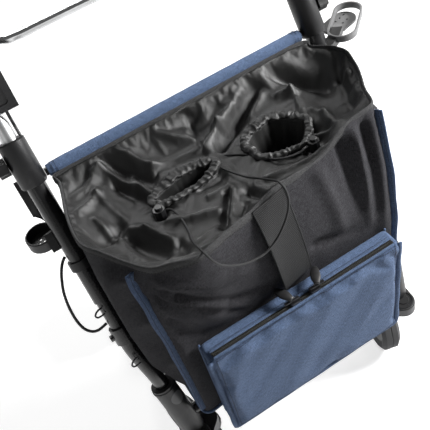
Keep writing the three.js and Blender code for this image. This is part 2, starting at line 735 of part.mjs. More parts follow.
function levelShare(z) {
  return (z - bag_bottom) / bag_height;
}

function baseBoard() {
  const low = bag_bottom + bag_wall + seat_gap;
  const rings = [low, low + board_thickness].map((z) => bagRing(levelShare(z), bag_wall + board_inset));
  add('bag_base_board', skin(rings), PLASTIC_BLACK);
}

// Liner: a sheet across the bag below its mouth, with two drawcord openings
const liner_mouths = [[-62, -112, 46, 20], [80, -122, 42, 34]];
function liner() {
  const rings = [liner_height, liner_height + liner_thickness]
    .map((z) => bagRing(levelShare(z), bag_wall + liner_inset));
  const holes = liner_mouths.map(([x, y, half_x, half_y]) => bore(1, 0, 1)
    .scale(half_x, half_y, liner_thickness + 2 * overrun).translate(x, y, liner_height - overrun));
  add('bag_liner', cut(skin(rings), ...holes), LINER_BLACK);
}

function barCover() {
  const cover = ring(crossbar_radius + seat_gap, crossbar_cover_radius, -crossbar_cover_half_length,
    crossbar_cover_half_length);
  add('bar_cover', cover.rotateY(Math.PI / 2).translate(0, 0, bar_height), FABRIC_BLUE);
}

function crossbars() {
  const half = tube_half_spread - sleeve_radius - seat_gap;
  add('crossbar', rod(crossbar_radius, -half, half).rotateY(Math.PI / 2).translate(0, 0, bar_height), FRAME_BLACK);
  const low = new THREE.Vector3(...leg_end).lerp(new THREE.Vector3(...leg_top), 0.08);
  const bar = rod(lower_crossbar_radius, -low.x, low.x).rotateY(Math.PI / 2).translate(0, low.y, low.z);
  const legs = SIDES.map(([side]) => mirrored(strutRod(
    leg_radius + 2 * seat_gap, new THREE.Vector3(...leg_end).addScaledVector(leg_axis, -leg_radius),
    new THREE.Vector3(...leg_top), fine_sides,
  ), side));
  add('lower_crossbar', cut(bar, ...legs), FRAME_BLACK);
  const rear = alongRearLeg(rear_crossbar_share);
  const rear_half = rear.x - rear_leg_radius - seat_gap;
  add('rear_crossbar', rod(rear_crossbar_radius, -rear_half, rear_half)
    .rotateY(Math.PI / 2).translate(0, rear.y, rear.z), FRAME_BLACK);
}

// Front pocket: stands against the bag's front, tilted with it
const pocket_tilt = Math.atan2(bag_front_low - bag_front_high, pocket_top - bag_bottom);
function pocketGroup() {
  const group = new THREE.Group();
  group.position.set(pocket_centre_x, bag_front_high - pocket_gap, pocket_top);
  group.rotation.x = pocket_tilt;
  rollator.add(group);
  return group;
}

function frontPocket(group) {
  const shape = roundedRectangle(pocket_width, pocket_tall, pocket_corner);
  const body = plate(shape, pocket_depth).rotateX(Math.PI / 2).translate(0, -pocket_depth / 2, -pocket_tall / 2);
  add('front_pocket', body, FABRIC_BLUE, group);
  const zip_length = pocket_width - 2 * pocket_corner;
  const zip = new THREE.BoxGeometry(zip_length, zip_width, zip_thickness)
    .translate(0, -pocket_depth + zip_setback, seat_gap + zip_thickness / 2);
  add('pocket_zip', zip, PLASTIC_BLACK, group);
  const top = seat_gap * 2 + zip_thickness;
  for (const [side, label] of SIDES) {
    const body_length = plate(roundedRectangle(slider_length, zip_width * 0.9, zip_width * 0.3), zip_thickness * 2)
      .translate(side * slider_spread, -pocket_depth + zip_setback, top + zip_thickness);
    const puller = new THREE.BoxGeometry(slider_length * 1.4, zip_width * 0.4, zip_thickness * 0.8)
      .translate(side * slider_spread * 1.3, -pocket_depth + zip_setback, top + zip_thickness * 3.9);
    const post = new THREE.BoxGeometry(zip_thickness * 2, zip_width * 0.3, zip_thickness * 2)
      .translate(side * slider_spread, -pocket_depth + zip_setback, top + zip_thickness * 3);
    add(`zip_slider_${label}`, join(body_length, puller, post), STEEL, group);
  }
}

// Webbing from the bag's front hem down to the top of the pocket
function webbing() {
  const top = levelShare(bag_top) - webbing_thickness * 2 / bag_height;
  const shares = [top, 0.97, 0.9, 0.76, 0.62, levelShare(pocket_top + overrun * 3)];
  const shape = new THREE.Shape();
  const front = shares.map((share) => bagRing(share)[front_middle]);
  front.forEach((p, i) => {
    if (i === 0) shape.moveTo(p.y - webbing_gap, p.z);
    else shape.lineTo(p.y - webbing_gap, p.z);
  });
  front.reverse().forEach((p) => shape.lineTo(p.y - webbing_gap - webbing_thickness, p.z));
  const strap = acrossX(new THREE.ExtrudeGeometry(shape, { depth: webbing_width, bevelEnabled: false }))
    .translate(-webbing_width / 2, -bag_front_high, -pocket_top)
    .rotateZ(THREE.MathUtils.degToRad(webbing_turn_deg))
    .rotateY(THREE.MathUtils.degToRad(-webbing_slant_deg))
    .translate(webbing_width / 4, bag_front_high, pocket_top);
  add('webbing_strap', strap, CORD_BLACK);
}

// Cord locks: a cup with a sprung button
const lock_places = [[-112, -138], [104, -170]];
function cordLocks() {
  const base = liner_height + liner_thickness + seat_gap;
  SIDES.forEach(([, label], i) => {
    const body = turned([
      [0, 0], [lock_radius, 0], [lock_radius, lock_height], [lock_button_radius + seat_gap, lock_height],
      [lock_button_radius + seat_gap, lock_height / 3], [0, lock_height / 3],
    ], small_sides).translate(...lock_places[i], base);
    add(`cord_lock_${label}`, body, PLASTIC_BLACK);
    const low = lock_height / 3 + lock_travel + seat_gap;
    const button = rod(lock_button_radius, low, lock_height + lock_travel + seat_gap, small_sides)
      .translate(...lock_places[i], base);
    add(`cord_lock_button_${label}`, button, PLASTIC_BLACK);
  });
}

// Free drawcords: the long one loops out over the front hem, the short one crosses the right opening.
// Their heights are taken from the mouth of the bag
function drawcords() {
  const hung = (route) => route.map(([x, y, below]) => [x, y, bag_top + below]);
  const long = [
    [-103.2, -138, -30], [-97, -146, -29], [-96, -170, -27], [-100, -200, -22], [-106, -226, -9],
    [-108, -246, 0.5], [-107.5, -257, 3], [-106, -266, 1.5], [-103, -271, -6], [-97, -272, -18],
    [-86, -268, -33],
    [-70, -264, -48], [-52, -261, -57], [-34, -259, -59], [-17, -257, -52], [-3, -256, -38],
    [8, -255, -20], [14, -251, -5], [16, -243, 3.5], [16, -230, 5], [15, -212, -4],
    [12, -186, -18], [4, -160, -28], [-6, -132, -31], [-12, -106, -33], [-14, -92, -33.5],
  ];
  add('drawcord_long', swept(drawcord_radius, hung(long), bend_steps * 4, cord_sides), CORD_BLACK);
  const short = [
    [2, -96, -33], [12, -104, -33], [24, -116, -32], [34, -130, -31], [42, -146, -30],
    [54, -160, -30], [70, -168, -30], [86, -170, -30], [96.1, -170, -30],
  ];
  add('drawcord_short', swept(drawcord_radius, hung(short), bend_steps * 2, cord_sides), CORD_BLACK);
}

// Brake cables: one length from the housing down into the sleeve, one loop from tube to fold pivot
function brakeCables(side, label) {
  const entry = tubePoint(cable_entry_station + overrun, tube_half_spread - cable_entry_radius);
  const lip = tubePoint(sleeve_high, tube_half_spread - cable_entry_radius);
  const rise = housing_low - lip.z;
  const upper = [
    entry.toArray(), lip.toArray(), [lip.x, lip.y + rise * 0.34, lip.z + rise * 0.6],
    [lip.x, cable_top_y, lip.z + rise * 0.9], [lip.x, cable_top_y, lip.z + rise + overrun / 2],
  ];
  add(`brake_cable_upper_${label}`, mirrored(swept(brake_cable_radius, upper, cord_sides, cord_sides), side),
    CORD_BLACK);
  const loop = [
    [243.4, -48.8, -106.5], [249, -50.5, -110.5], [256, -55, -118], [263, -61, -130], [270, -69, -147], [274, -77, -167],
    [275, -86, -188], [272, -94, -204], [265, -99, -213], [257, -100.5, -216.5], [248, -100, -216],
    [240.7, -99, -214.5],
  ].map(([x, y, below]) => [x, y, bar_height + below]);
  add(`brake_cable_loop_${label}`, mirrored(swept(brake_cable_radius, loop, bend_steps * 1.5, cord_sides), side), CORD_BLACK);
}

// Cane cup with seven drain holes, on a spine that is saddled to the left front tube
function caneCup() {
  const frame = new THREE.Group();
  frame.position.set(-tube_half_spread, 0, bar_height);
  frame.rotation.x = -tube_lean;
  frame.updateMatrixWorld();
  rollator.add(frame);
  const toFrame = frame.matrixWorld.clone().invert();
  const floor = cup_rim_height - cup_height;
  const cup = rod(cup_radius, 0, cup_height, fine_sides, cup_wall / 2);
  const room = bore(cup_radius - cup_wall, cup_wall, cup_height + spine_length, fine_sides);
  const holes = [[0, 0]];
  for (let k = 0; k < 6; k += 1) {
    const angle = (Math.PI * k) / 3;
    holes.push([drain_pitch * Math.cos(angle), drain_pitch * Math.sin(angle)]);
  }
  const drains = holes.map(([x, y]) => bore(drain_radius, -overrun, cup_wall + overrun, cord_sides)
    .translate(x, y, 0));
  const inPlace = [cup, room, ...drains]
    .map((shape) => shape.translate(...cup_centre, floor).applyMatrix4(toFrame));
  const behind = strut_offset + spine_thickness * 2.5;
  const low = collar_station + collar_length * 2.2;
  const x = cup_centre[0] + tube_half_spread + spine_width * 0.75;
  const spine = new THREE.BoxGeometry(spine_width, spine_thickness, spine_length)
    .translate(x, behind, low + spine_length / 2);
  const saddle_length = tube_radius * 2;
  const saddle = new THREE.BoxGeometry(spine_width, behind, saddle_length)
    .translate(x, behind / 2, low + saddle_length / 2);
  const tube = bore(tube_radius + seat_gap, low - overrun, low + saddle_length + overrun);
  add('cane_cup', cut(join(spine, saddle, inPlace[0]), tube, ...inPlace.slice(1)), PLASTIC_BLACK, frame);
}

// Bottle holder: a long band, a perforated shelf below it and the arm that joins both to the tube
function bottleHolder() {
  const turn = THREE.MathUtils.degToRad(holder_angle_deg);
  const loop = (grow) => roundedRectangle(
    2 * (holder_half_length + grow), 2 * (holder_half_width + grow), holder_half_width + grow,
  );
  const outline = loop(0);
  outline.holes.push(new THREE.Path(loop(-holder_band).getPoints(cord_sides)));
  const placed = (geometry) => geometry.rotateZ(turn).translate(...holder_centre, holder_height);
  add('holder_band', placed(plate(outline, holder_band_height, cord_sides)), GREY_PLASTIC);
  const keepClear = cut(
    placed(plate(loop(seat_gap), holder_band_height + 2 * seat_gap, small_sides)),
    placed(plate(loop(-holder_band - seat_gap), holder_band_height * 2, small_sides)),
  );
  const shape = roundedRectangle(2 * shelf_half_length, 2 * shelf_half_width, shelf_half_width);
  const holes = shelf_hole_shares.map(([across, up]) => bore(drain_radius, -overrun, overrun, cord_sides)
    .translate(across * shelf_half_length, up * shelf_half_width, 0));
  const shelf = cut(plate(shape, shelf_thickness), ...holes)
    .rotateZ(THREE.MathUtils.degToRad(shelf_angle_deg)).translate(...shelf_centre, shelf_height);
  const arm_z = shelf_height - shelf_thickness / 2 + holder_arm_height / 2;
  const arms = [0, 1].map((k) => lobed(holder_arm_points.slice(k, k + 2),
    holder_arm_half_width, holder_arm_height).translate(0, 0, arm_z));
  const tube = strutRod(tube_radius + seat_gap, tubePoint(sleeve_low * 10), tubePoint(sleeve_low));
  const sleeve = strutRod(sleeve_radius + seat_gap, tubePoint(sleeve_low - seat_gap), tubePoint(sleeve_high));
  add('bottle_holder', cut(join(shelf, ...arms), keepClear, tube, sleeve), PLASTIC_BLACK);
}

for (const [side, label] of SIDES) {
  const frame = tubeFrame(side);
  frontTube(side, label, frame);
  tubeSleeve(side, label, frame);
  clampKnob(side, label, frame);
  braceCollar(side, label, frame);
  handleStem(side, label, frame);
  lowerTube(side, label);
  castorHead(side, label);
  castor(side, label, side < 0 ? castor_left_deg : castor_right_deg);
  rearLeg(side, label);
  rearWheel(side, label);
  brakeShoe(side, label);
  braceStrut(side, label);
  housing(side, label);
  grip(side, label);
  brakeCables(side, label);
}
crossbars();
brakeBar();
bagShell();
baseBoard();
liner();
barCover();
const pocket = pocketGroup();
frontPocket(pocket);
webbing();
cordLocks();
caneCup();
bottleHolder();

// The origin is the middle of the footprint, on the ground; the free cords don't count
const extent = new THREE.Box3().setFromObject(rollator);
const middle = extent.getCenter(new THREE.Vector3());
rollator.position.set(-middle.x, -middle.y, -extent.min.z);
drawcords();

export default rollator;
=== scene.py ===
import bpy
import math
import numpy as np
from mathutils import Matrix, Vector, geometry, noise
from mathutils.bvhtree import BVHTree


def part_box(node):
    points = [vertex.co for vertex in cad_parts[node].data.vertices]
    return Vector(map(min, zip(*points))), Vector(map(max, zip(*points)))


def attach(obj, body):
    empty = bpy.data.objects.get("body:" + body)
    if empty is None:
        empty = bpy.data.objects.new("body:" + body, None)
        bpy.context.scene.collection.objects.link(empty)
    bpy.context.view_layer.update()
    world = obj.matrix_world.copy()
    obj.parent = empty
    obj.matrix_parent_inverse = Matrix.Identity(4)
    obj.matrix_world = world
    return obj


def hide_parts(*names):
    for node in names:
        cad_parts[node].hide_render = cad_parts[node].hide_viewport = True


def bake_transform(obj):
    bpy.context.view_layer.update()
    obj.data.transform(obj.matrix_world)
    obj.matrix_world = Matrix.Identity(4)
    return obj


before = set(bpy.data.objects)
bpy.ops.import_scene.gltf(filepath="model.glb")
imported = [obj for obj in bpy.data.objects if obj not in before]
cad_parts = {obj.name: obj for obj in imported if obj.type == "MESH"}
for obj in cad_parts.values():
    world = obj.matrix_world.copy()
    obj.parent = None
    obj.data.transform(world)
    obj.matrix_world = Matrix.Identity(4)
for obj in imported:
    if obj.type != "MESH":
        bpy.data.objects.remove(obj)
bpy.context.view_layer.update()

MM = 0.001
FULL_TURN = 2 * math.pi
UP = np.array([0.0, 0.0, 1.0])
SIDES = ((-1, "left"), (1, "right"))
bar_low, bar_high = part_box("crossbar")
BAR = (bar_low + bar_high) / 2
BAR_HEIGHT = 620


def place(x, y, z):
    """Millimetres from the middle of the padded bar, heights above the ground."""
    return Vector((BAR.x + x * MM, BAR.y + y * MM, z * MM))


def placed(points):
    """The same for a list or a grid of points."""
    points = np.asarray(points, float)
    return np.array([place(*p)[:] for p in points.reshape(-1, 3)]).reshape(points.shape)


def linked(name, data):
    """Puts a new object into the scene."""
    added = bpy.data.objects.new(name, data)
    bpy.context.scene.collection.objects.link(added)
    return added


# Camera
PIXELS, FOCAL = 430, 670.07
eye = place(-223.0, -753.1, 1160.6)
view_right = Vector((0.845749, -0.482052, -0.228767))
view_down = Vector((-0.495272, -0.549698, -0.672709))
view_ahead = Vector((0.198528, 0.682245, -0.703653))
camera_data = bpy.data.cameras.new("camera")
camera_data.sensor_width = 36
camera_data.lens = 36 * FOCAL / PIXELS
camera_data.clip_start, camera_data.clip_end = 0.05, 40
camera = linked("camera", camera_data)
turn = Matrix((view_right, -view_down, -view_ahead)).transposed().to_4x4()
camera.matrix_world = Matrix.Translation(eye) @ turn
bpy.context.scene.camera = camera


def seen_at(px, py, height):
    """The point at a height in millimetres that the camera sees at a place in the picture."""
    ray = view_ahead * FOCAL + view_right * (px - PIXELS / 2) + view_down * (py - PIXELS / 2)
    return eye + ray * ((height * MM - eye.z) / ray.z)


# Lines and ramps
def unit(vectors):
    return vectors / np.linalg.norm(vectors, axis=-1, keepdims=True)


def run_lengths(line):
    """How far along a line each of its points lies."""
    return np.concatenate([[0], np.cumsum(np.linalg.norm(np.diff(line, axis=0), axis=1))])


def between(at, known, line):
    """Points of a line at other places than the known ones."""
    return np.stack([np.interp(at, known, line[:, i]) for i in range(3)], axis=-1)


def catmull_rom(a, b, c, d, t):
    return 0.5 * (2 * b + (c - a) * t + (2 * a - 5 * b + 4 * c - d) * t**2 + (3 * b - a - 3 * c + d) * t**3)


def smooth_path(points, spacing):
    """A line through the points, with even steps."""
    p = np.array(points, float)
    p = np.vstack([2 * p[0] - p[1], p, 2 * p[-1] - p[-2]])
    t = np.linspace(0, 1, 16, endpoint=False)[:, None]
    dense = np.vstack([catmull_rom(*p[k:k + 4], t) for k in range(len(p) - 3)] + [p[-2:-1]])
    run = run_lengths(dense)
    count = max(4, round(run[-1] / spacing)) + 1
    return between(np.linspace(0, run[-1], count), run, dense)


def directions(points, closed=False):
    if closed:
        return unit(np.roll(points, -1, axis=0) - np.roll(points, 1, axis=0))
    return unit(np.gradient(points, axis=0))


def carried_sides(d):
    """A side vector for each direction, which turns as little as it can along the line."""
    side = np.cross(d[0], (0, 0, 1))
    if np.linalg.norm(side) < 0.1:
        side = np.cross(d[0], (1, 0, 0))
    sides = [unit(side)]
    for along in d[1:]:
        sides.append(unit(sides[-1] - along * np.dot(sides[-1], along)))
    return np.array(sides)


def outward(d):
    """Level vectors to the right of each direction: out of a ring that runs anticlockwise."""
    return np.stack([d[:, 1], -d[:, 0], d[:, 2] * 0], axis=1)


def ramp(value, low, high):
    return np.clip((value - low) / (high - low), 0, 1)


def smooth_step(value, low, high):
    share = ramp(value, low, high)
    return share * share * (3 - 2 * share)


def bump_profile(distance, width):
    return np.exp(-(distance / width) ** 2)


def segment_distance(p, q, a, b):
    """Distance from (p, q) to the segment from a to b, and how far along it the nearest point is."""
    a, b = np.array(a, float), np.array(b, float)
    d = b - a
    along = np.clip(((p - a[0]) * d[0] + (q - a[1]) * d[1]) / (d @ d), 0, 1)
    return np.hypot(p - a[0] - d[0] * along, q - a[1] - d[1] * along), along


# Meshes
def make_piece(name, points, faces, material, loop_uv=None):
    mesh = bpy.data.meshes.new(name)
    mesh.from_pydata(np.asarray(points).tolist(), [], faces)
    if loop_uv is not None:
        layer = mesh.uv_layers.new(name="cloth")
        layer.data.foreach_set("uv", np.asarray(loop_uv, np.float32).ravel())
    mesh.polygons.foreach_set("use_smooth", [True] * len(mesh.polygons))
    mesh.materials.append(material)
    mesh.update()
    return linked(name, mesh)


def grid_piece(name, rows, material, ring=False, loop=False, ends=0):
    """A skin over a grid of points. ring closes each row on itself, loop joins the last row to the first,
    and ends is how many of the end rows a face fills: 1 is the first row only."""
    rows = np.asarray(rows, float)
    m, n = rows.shape[:2]
    across = run_lengths(np.concatenate([rows[m // 2], rows[m // 2][:1]]))
    along = run_lengths(np.concatenate([rows[:, 0], rows[:1, 0]]))
    faces, uv = [], []
    for i in range(m if loop else m - 1):
        for j in range(n if ring else n - 1):
            i2, j2 = (i + 1) % m, (j + 1) % n
            faces.append((i * n + j, i * n + j2, i2 * n + j2, i2 * n + j))
            uv += [(across[j + a], along[i + b]) for a, b in ((0, 0), (1, 0), (1, 1), (0, 1))]
    faces += [tuple(range(n - 1, -1, -1)), tuple((m - 1) * n + k for k in range(n))][:ends]
    uv += [(0, 0)] * (n * ends)
    return make_piece(name, rows.reshape(-1, 3), faces, material, uv)


def run_along(name, points, section, material, sides=None, closed=False):
    """Carries a closed section along a line. A section is a list of (side, up) lengths, or gives one for each point."""
    points = np.asarray(points, float)
    d = directions(points, closed)
    sides = carried_sides(d) if sides is None else sides
    rows = [[at + side * a + up * b for a, b in (section(k) if callable(section) else section)]
            for k, (at, side, up) in enumerate(zip(points, sides, np.cross(d, sides)))]
    return grid_piece(name, rows, material, ring=True, loop=closed, ends=0 if closed else 2)


def angles(count):
    """Even steps round a full turn."""
    return [FULL_TURN * k / count for k in range(count)]


def round_section(radius, count, flat=1.0):
    return [(radius * math.cos(a), radius * flat * math.sin(a)) for a in angles(count)]


def rides(piece, slot, *replaced, body="frame"):
    if replaced:
        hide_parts(*replaced)
    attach(piece, body)


def finished(piece, *modifiers):
    """Adds modifiers from (type, settings) pairs and turns the result into a plain mesh."""
    for kind, settings in modifiers:
        added = piece.modifiers.new(kind.lower(), kind)
        for key, value in settings.items():
            if hasattr(added, key):
                setattr(added, key, value)
            else:
                added[key] = value
    made = bpy.data.meshes.new_from_object(piece.evaluated_get(bpy.context.evaluated_depsgraph_get()))
    piece.modifiers.clear()
    piece.data = made
    return piece


ROUNDER = ("SUBSURF", {"levels": 1, "render_levels": 1})


def wall(thickness, offset):
    return "SOLIDIFY", {"thickness": thickness, "offset": offset}


def joined(name, pieces):
    """One mesh out of several that share a material list."""
    points, faces, uv = [], [], []
    for piece in pieces:
        mesh, start = piece.data, len(points)
        points += [tuple(v.co) for v in mesh.vertices]
        faces += [tuple(start + v for v in p.vertices) for p in mesh.polygons]
        uv += [tuple(u.uv) for u in mesh.uv_layers[0].data]
    whole = make_piece(name, points, faces, pieces[0].data.materials[0], uv)
    for piece in pieces:
        bpy.data.objects.remove(piece)
    return whole


def simulated(piece, held, frames, cap, gravity, **settings):
    """Runs the cloth simulation with the sewn points held. cap is the most that a point may move."""
    piece.vertex_groups.new(name="sewn").add(np.where(held)[0].tolist(), 1.0, "REPLACE")
    sim = piece.modifiers.new("cloth", "CLOTH")
    for key, value in {"quality": 6, "vertex_group_mass": "sewn", **settings}.items():
        setattr(sim.settings, key, value)
    sim.settings.effector_weights.gravity = gravity
    sim.collision_settings.use_collision = False
    for number in range(1, frames + 1):
        bpy.context.scene.frame_set(number)
    worn = piece.evaluated_get(bpy.context.evaluated_depsgraph_get())
    rest, moved = (np.array([v.co for v in mesh.vertices]) for mesh in (piece.data, worn.data))
    piece.modifiers.clear()
    piece.vertex_groups.clear()
    bpy.context.scene.frame_set(1)
    step = moved - rest
    step *= np.minimum(1, cap / np.maximum(np.linalg.norm(step, axis=1), 1e-9))[:, None]
    piece.data.vertices.foreach_set("co", (rest + step).ravel())
    piece.data.update()


# Node trees
class Signal:
    """An output of a node, which takes part in sums as a number does."""

    def __init__(self, tree, socket):
        self.tree, self.socket = tree, socket

    def math(self, operation, *values):
        return calc(self.tree, operation, self, *values)

    def __add__(self, other):
        return self.math("ADD", other)

    def __sub__(self, other):
        return self.math("SUBTRACT", other)

    def __mul__(self, other):
        return self.math("MULTIPLY", other)


def put(node, **inputs):
    """Connects or fills a node's inputs. In a name, _ stands for a space, and in0 is the first input."""
    for key, value in inputs.items():
        name = key.replace("_", " ")
        socket = node.inputs[int(name[2:]) if name[:2] == "in" and name[2:].isdigit() else name]
        if isinstance(value, Signal):
            value.tree.links.new(value.socket, socket)
        else:
            socket.default_value = value


def outputs(tree, node):
    return {socket.name: Signal(tree, socket) for socket in node.outputs if socket.enabled}


def signal(tree, kind, settings=(), out=0, **inputs):
    """Adds a node, sets it up, and gives one of its outputs."""
    node = tree.nodes.new(kind)
    for key, value in dict(settings).items():
        setattr(node, key, value)
    put(node, **inputs)
    return Signal(tree, node.outputs[out])


def calc(tree, operation, *values):
    return signal(tree, "ShaderNodeMath", {"operation": operation}, **{f"in{k}": v for k, v in enumerate(values)})


def cloudy(tree, vector, scale, detail, settings=(), **more):
    """Soft noise from 0 to 1."""
    return signal(tree, "ShaderNodeTexNoise", settings, Vector=vector, Scale=scale, Detail=detail, **more)


def ramped(tree, value, low, high):
    return signal(tree, "ShaderNodeMapRange", Value=value, From_Min=low, From_Max=high)


def ripple(value):
    return value.math("SINE").math("ABSOLUTE")


def axes(tree, vector):
    parts = tree.nodes.new("ShaderNodeSeparateXYZ")
    put(parts, Vector=vector)
    return [Signal(tree, socket) for socket in parts.outputs]


def raised(tree, height, depth, strength=1.0, **under):
    """A bump, over another one that is given as Normal."""
    return signal(tree, "ShaderNodeBump", Strength=strength, Distance=depth, Height=height, **under)


def colour_mix(tree, share, low, high):
    """A colour between two, each a signal or red, green and blue."""
    mix = tree.nodes.new("ShaderNodeMix")
    mix.data_type = "RGBA"
    put(mix, Factor=share)
    for socket, value in zip([s for s in mix.inputs if s.type == "RGBA"], (low, high)):
        if isinstance(value, Signal):
            tree.links.new(value.socket, socket)
        else:
            socket.default_value = (*value[:3], 1)
    return Signal(tree, [s for s in mix.outputs if s.type == "RGBA"][0])


def new_group(name, inputs, results, kind="ShaderNodeTree"):
    """A node group. Each input is given by its starting value, or by its type if it has none."""
    tree = bpy.data.node_groups.new(name, kind)
    for way, sockets in (("INPUT", inputs), ("OUTPUT", results)):
        for label, value in sockets.items():
            bare = isinstance(value, str)
            number = {float: "Float", int: "Int"}.get(type(value))
            word = value if bare else number or ("Color" if len(value) == 4 else "Vector")
            socket = tree.interface.new_socket(label, in_out=way, socket_type="NodeSocket" + word)
            if not bare:
                socket.default_value = value
    given = outputs(tree, tree.nodes.new("NodeGroupInput"))
    return tree, given, tree.nodes.new("NodeGroupOutput")


# Shared surface effects
def woven_cloth():
    """Threads over and under each other, with the flecks of a heathered yarn."""
    tree, given, result = new_group("woven_cloth", {
        "Vector": "Vector", "Pitch": 0.0008, "Dark": (0.02, 0.02, 0.02, 1), "Light": (0.1, 0.1, 0.1, 1), "Fleck": 0.5,
    }, {"Color": "Color", "Height": "Float"})
    at = given["Vector"]
    x, y, _ = axes(tree, at)
    turns = calc(tree, "DIVIDE", math.pi, given["Pitch"])
    over = signal(tree, "ShaderNodeTexChecker", out="Fac", Vector=at, Scale=calc(tree, "DIVIDE", 1.0, given["Pitch"]))
    streaks = [cloudy(tree, signal(tree, "ShaderNodeMapping", Vector=at, Scale=stretch), 1.0, 2.0)
               for stretch in ((140, 1900, 0), (1900, 140, 0))]
    woven, yarn = (signal(tree, "ShaderNodeMix", {"data_type": "FLOAT"}, Factor=over, A=warp, B=weft)
                   for warp, weft in ((ripple(x * turns), ripple(y * turns)), streaks))
    share = ramped(tree, yarn, 0.36, 0.66) * given["Fleck"] + cloudy(tree, at, 22.0, 3.0) * 0.35
    tone = share * (woven * 0.45 + 0.6)
    put(result, Height=woven, Color=colour_mix(tree, tone, given["Dark"], given["Light"]))
    return tree


def moulded_grain():
    """The fine pebbled skin of a moulding, and where hands have rubbed it."""
    tree, given, result = new_group("moulded_grain", {
        "Vector": "Vector", "Scale": 900.0, "Rough": 0.5, "Spread": 0.12,
    }, {"Height": "Float", "Roughness": "Float", "Rubbed": "Float"})
    at, scale = given["Vector"], given["Scale"]
    pebbles = signal(tree, "ShaderNodeTexVoronoi", {"feature": "SMOOTH_F1"}, Vector=at, Scale=scale)
    patches = cloudy(tree, at, 34.0, 5.0, Roughness=0.65)
    put(result, Height=pebbles + cloudy(tree, at, scale, 3.0) * 0.4,
        Roughness=given["Rough"] + (patches - 0.5) * given["Spread"] * 2.0, Rubbed=ramped(tree, patches, 0.55, 0.8))
    return tree


def settled_dust():
    """A thin grey film on faces that look up."""
    tree, given, result = new_group("settled_dust", {
        "Vector": "Vector", "Normal": "Vector", "Base": (0, 0, 0, 1), "Film": 0.1,
    }, {"Color": "Color", "Film": "Float"})
    facing = ramped(tree, axes(tree, given["Normal"])[2], 0.1, 1.0)
    specks = cloudy(tree, given["Vector"], 420.0, 6.0, Roughness=0.8)
    film = facing * given["Film"] * (specks + cloudy(tree, given["Vector"], 18.0, 2.0))
    put(result, Color=colour_mix(tree, film, given["Base"], (0.32, 0.31, 0.29)), Film=film)
    return tree


def drawn_lines():
    """Hair lines left along a drawn or brushed metal part, and a few smears."""
    tree, given, result = new_group("drawn_lines", {
        "Vector": "Vector", "Stretch": (60, 2400, 2400), "Rough": 0.2,
    }, {"Height": "Float", "Roughness": "Float"})
    run = signal(tree, "ShaderNodeVectorMath", {"operation": "MULTIPLY"}, in0=given["Vector"], in1=given["Stretch"])
    lines = cloudy(tree, run, 1.0, 3.0)
    smear = cloudy(tree, given["Vector"], 26.0, 4.0)
    put(result, Height=lines, Roughness=given["Rough"] + (smear - 0.5) * 0.22 + lines * 0.06)
    return tree


WOVEN, GRAIN, DUST, DRAWN = woven_cloth(), moulded_grain(), settled_dust(), drawn_lines()


# Materials
def new_material(name):
    material = bpy.data.materials.new(name)
    material.use_nodes = True
    tree = material.node_tree
    return material, tree, tree.nodes["Principled BSDF"], outputs(tree, tree.nodes.new("ShaderNodeTexCoord"))


def placed_group(tree, group, **inputs):
    node = tree.nodes.new("ShaderNodeGroup")
    node.node_tree = group
    put(node, **inputs)
    return outputs(tree, node)


def cloth(name, dark, light, pitch=0.0008, fleck=0.6, sheen=0.1, tint=(1, 1, 1, 1), creases=0.0006, specular=0.3):
    material, tree, shader, at = new_material(name)
    woven = placed_group(tree, WOVEN, Vector=at["UV"], Pitch=pitch, Dark=(*dark, 1), Light=(*light, 1), Fleck=fleck)
    rumple = raised(tree, cloudy(tree, at["Object"], 55.0, 4.0, Roughness=0.6), creases)
    put(shader, Base_Color=woven["Color"], Roughness=0.85, Sheen_Weight=sheen, Sheen_Roughness=0.45, Sheen_Tint=tint,
        Specular_IOR_Level=specular, Normal=raised(tree, woven["Height"], 0.0003, Normal=rumple))
    return material


def moulding(name, base, rough, film, scale=900.0, depth=0.00012, coat=0.0, specular=0.5, rubbed=0.03, other=None):
    """A moulded or coated skin. other is a second colour and the ball it fills: colour, middle, radius."""
    material, tree, shader, at = new_material(name)
    grain = placed_group(tree, GRAIN, Vector=at["Object"], Scale=scale, Rough=rough, Spread=0.1)
    tone = colour_mix(tree, grain["Rubbed"], base, [c + rubbed for c in base])
    if other:
        second, middle, radius = other
        away = signal(tree, "ShaderNodeVectorMath", {"operation": "DISTANCE"}, "Value", in0=at["Object"], in1=middle)
        tone = colour_mix(tree, away.math("LESS_THAN", radius), tone, second)
    facing = signal(tree, "ShaderNodeNewGeometry", out="Normal")
    dust = placed_group(tree, DUST, Vector=at["Object"], Normal=facing, Base=tone, Film=film)
    put(shader, Base_Color=dust["Color"], Roughness=grain["Roughness"] + dust["Film"], Coat_Weight=coat,
        Coat_Roughness=0.09, Specular_IOR_Level=specular, Normal=raised(tree, grain["Height"], depth))
    return material


def metal(name, base, rough, stretch, depth=0.00002):
    material, tree, shader, at = new_material(name)
    lines = placed_group(tree, DRAWN, Vector=at["Object"], Stretch=stretch, Rough=rough)
    put(shader, Base_Color=(*base, 1), Metallic=1.0, Roughness=lines["Roughness"],
        Normal=raised(tree, lines["Height"], depth))
    return material


def lining(name, base, rough):
    """Shiny polyester lining: tight weave, sharp little creases and a soft sheen."""
    material, tree, shader, at = new_material(name)
    crease = cloudy(tree, at["Object"], 19.0, 2.0, {"noise_type": "RIDGED_MULTIFRACTAL"}, Roughness=0.35,
                    Distortion=0.5)
    weave = placed_group(tree, WOVEN, Vector=at["UV"], Pitch=0.0005, Dark=(*[c * 0.75 for c in base], 1),
                         Light=(*[c * 1.5 for c in base], 1), Fleck=0.3)
    soft = raised(tree, crease, 0.001, 0.15)
    put(shader, Base_Color=weave["Color"], Roughness=rough, Specular_IOR_Level=0.7, Sheen_Weight=0.15,
        Sheen_Roughness=0.4, Normal=raised(tree, weave["Height"], 0.00006, Normal=soft))
    return material


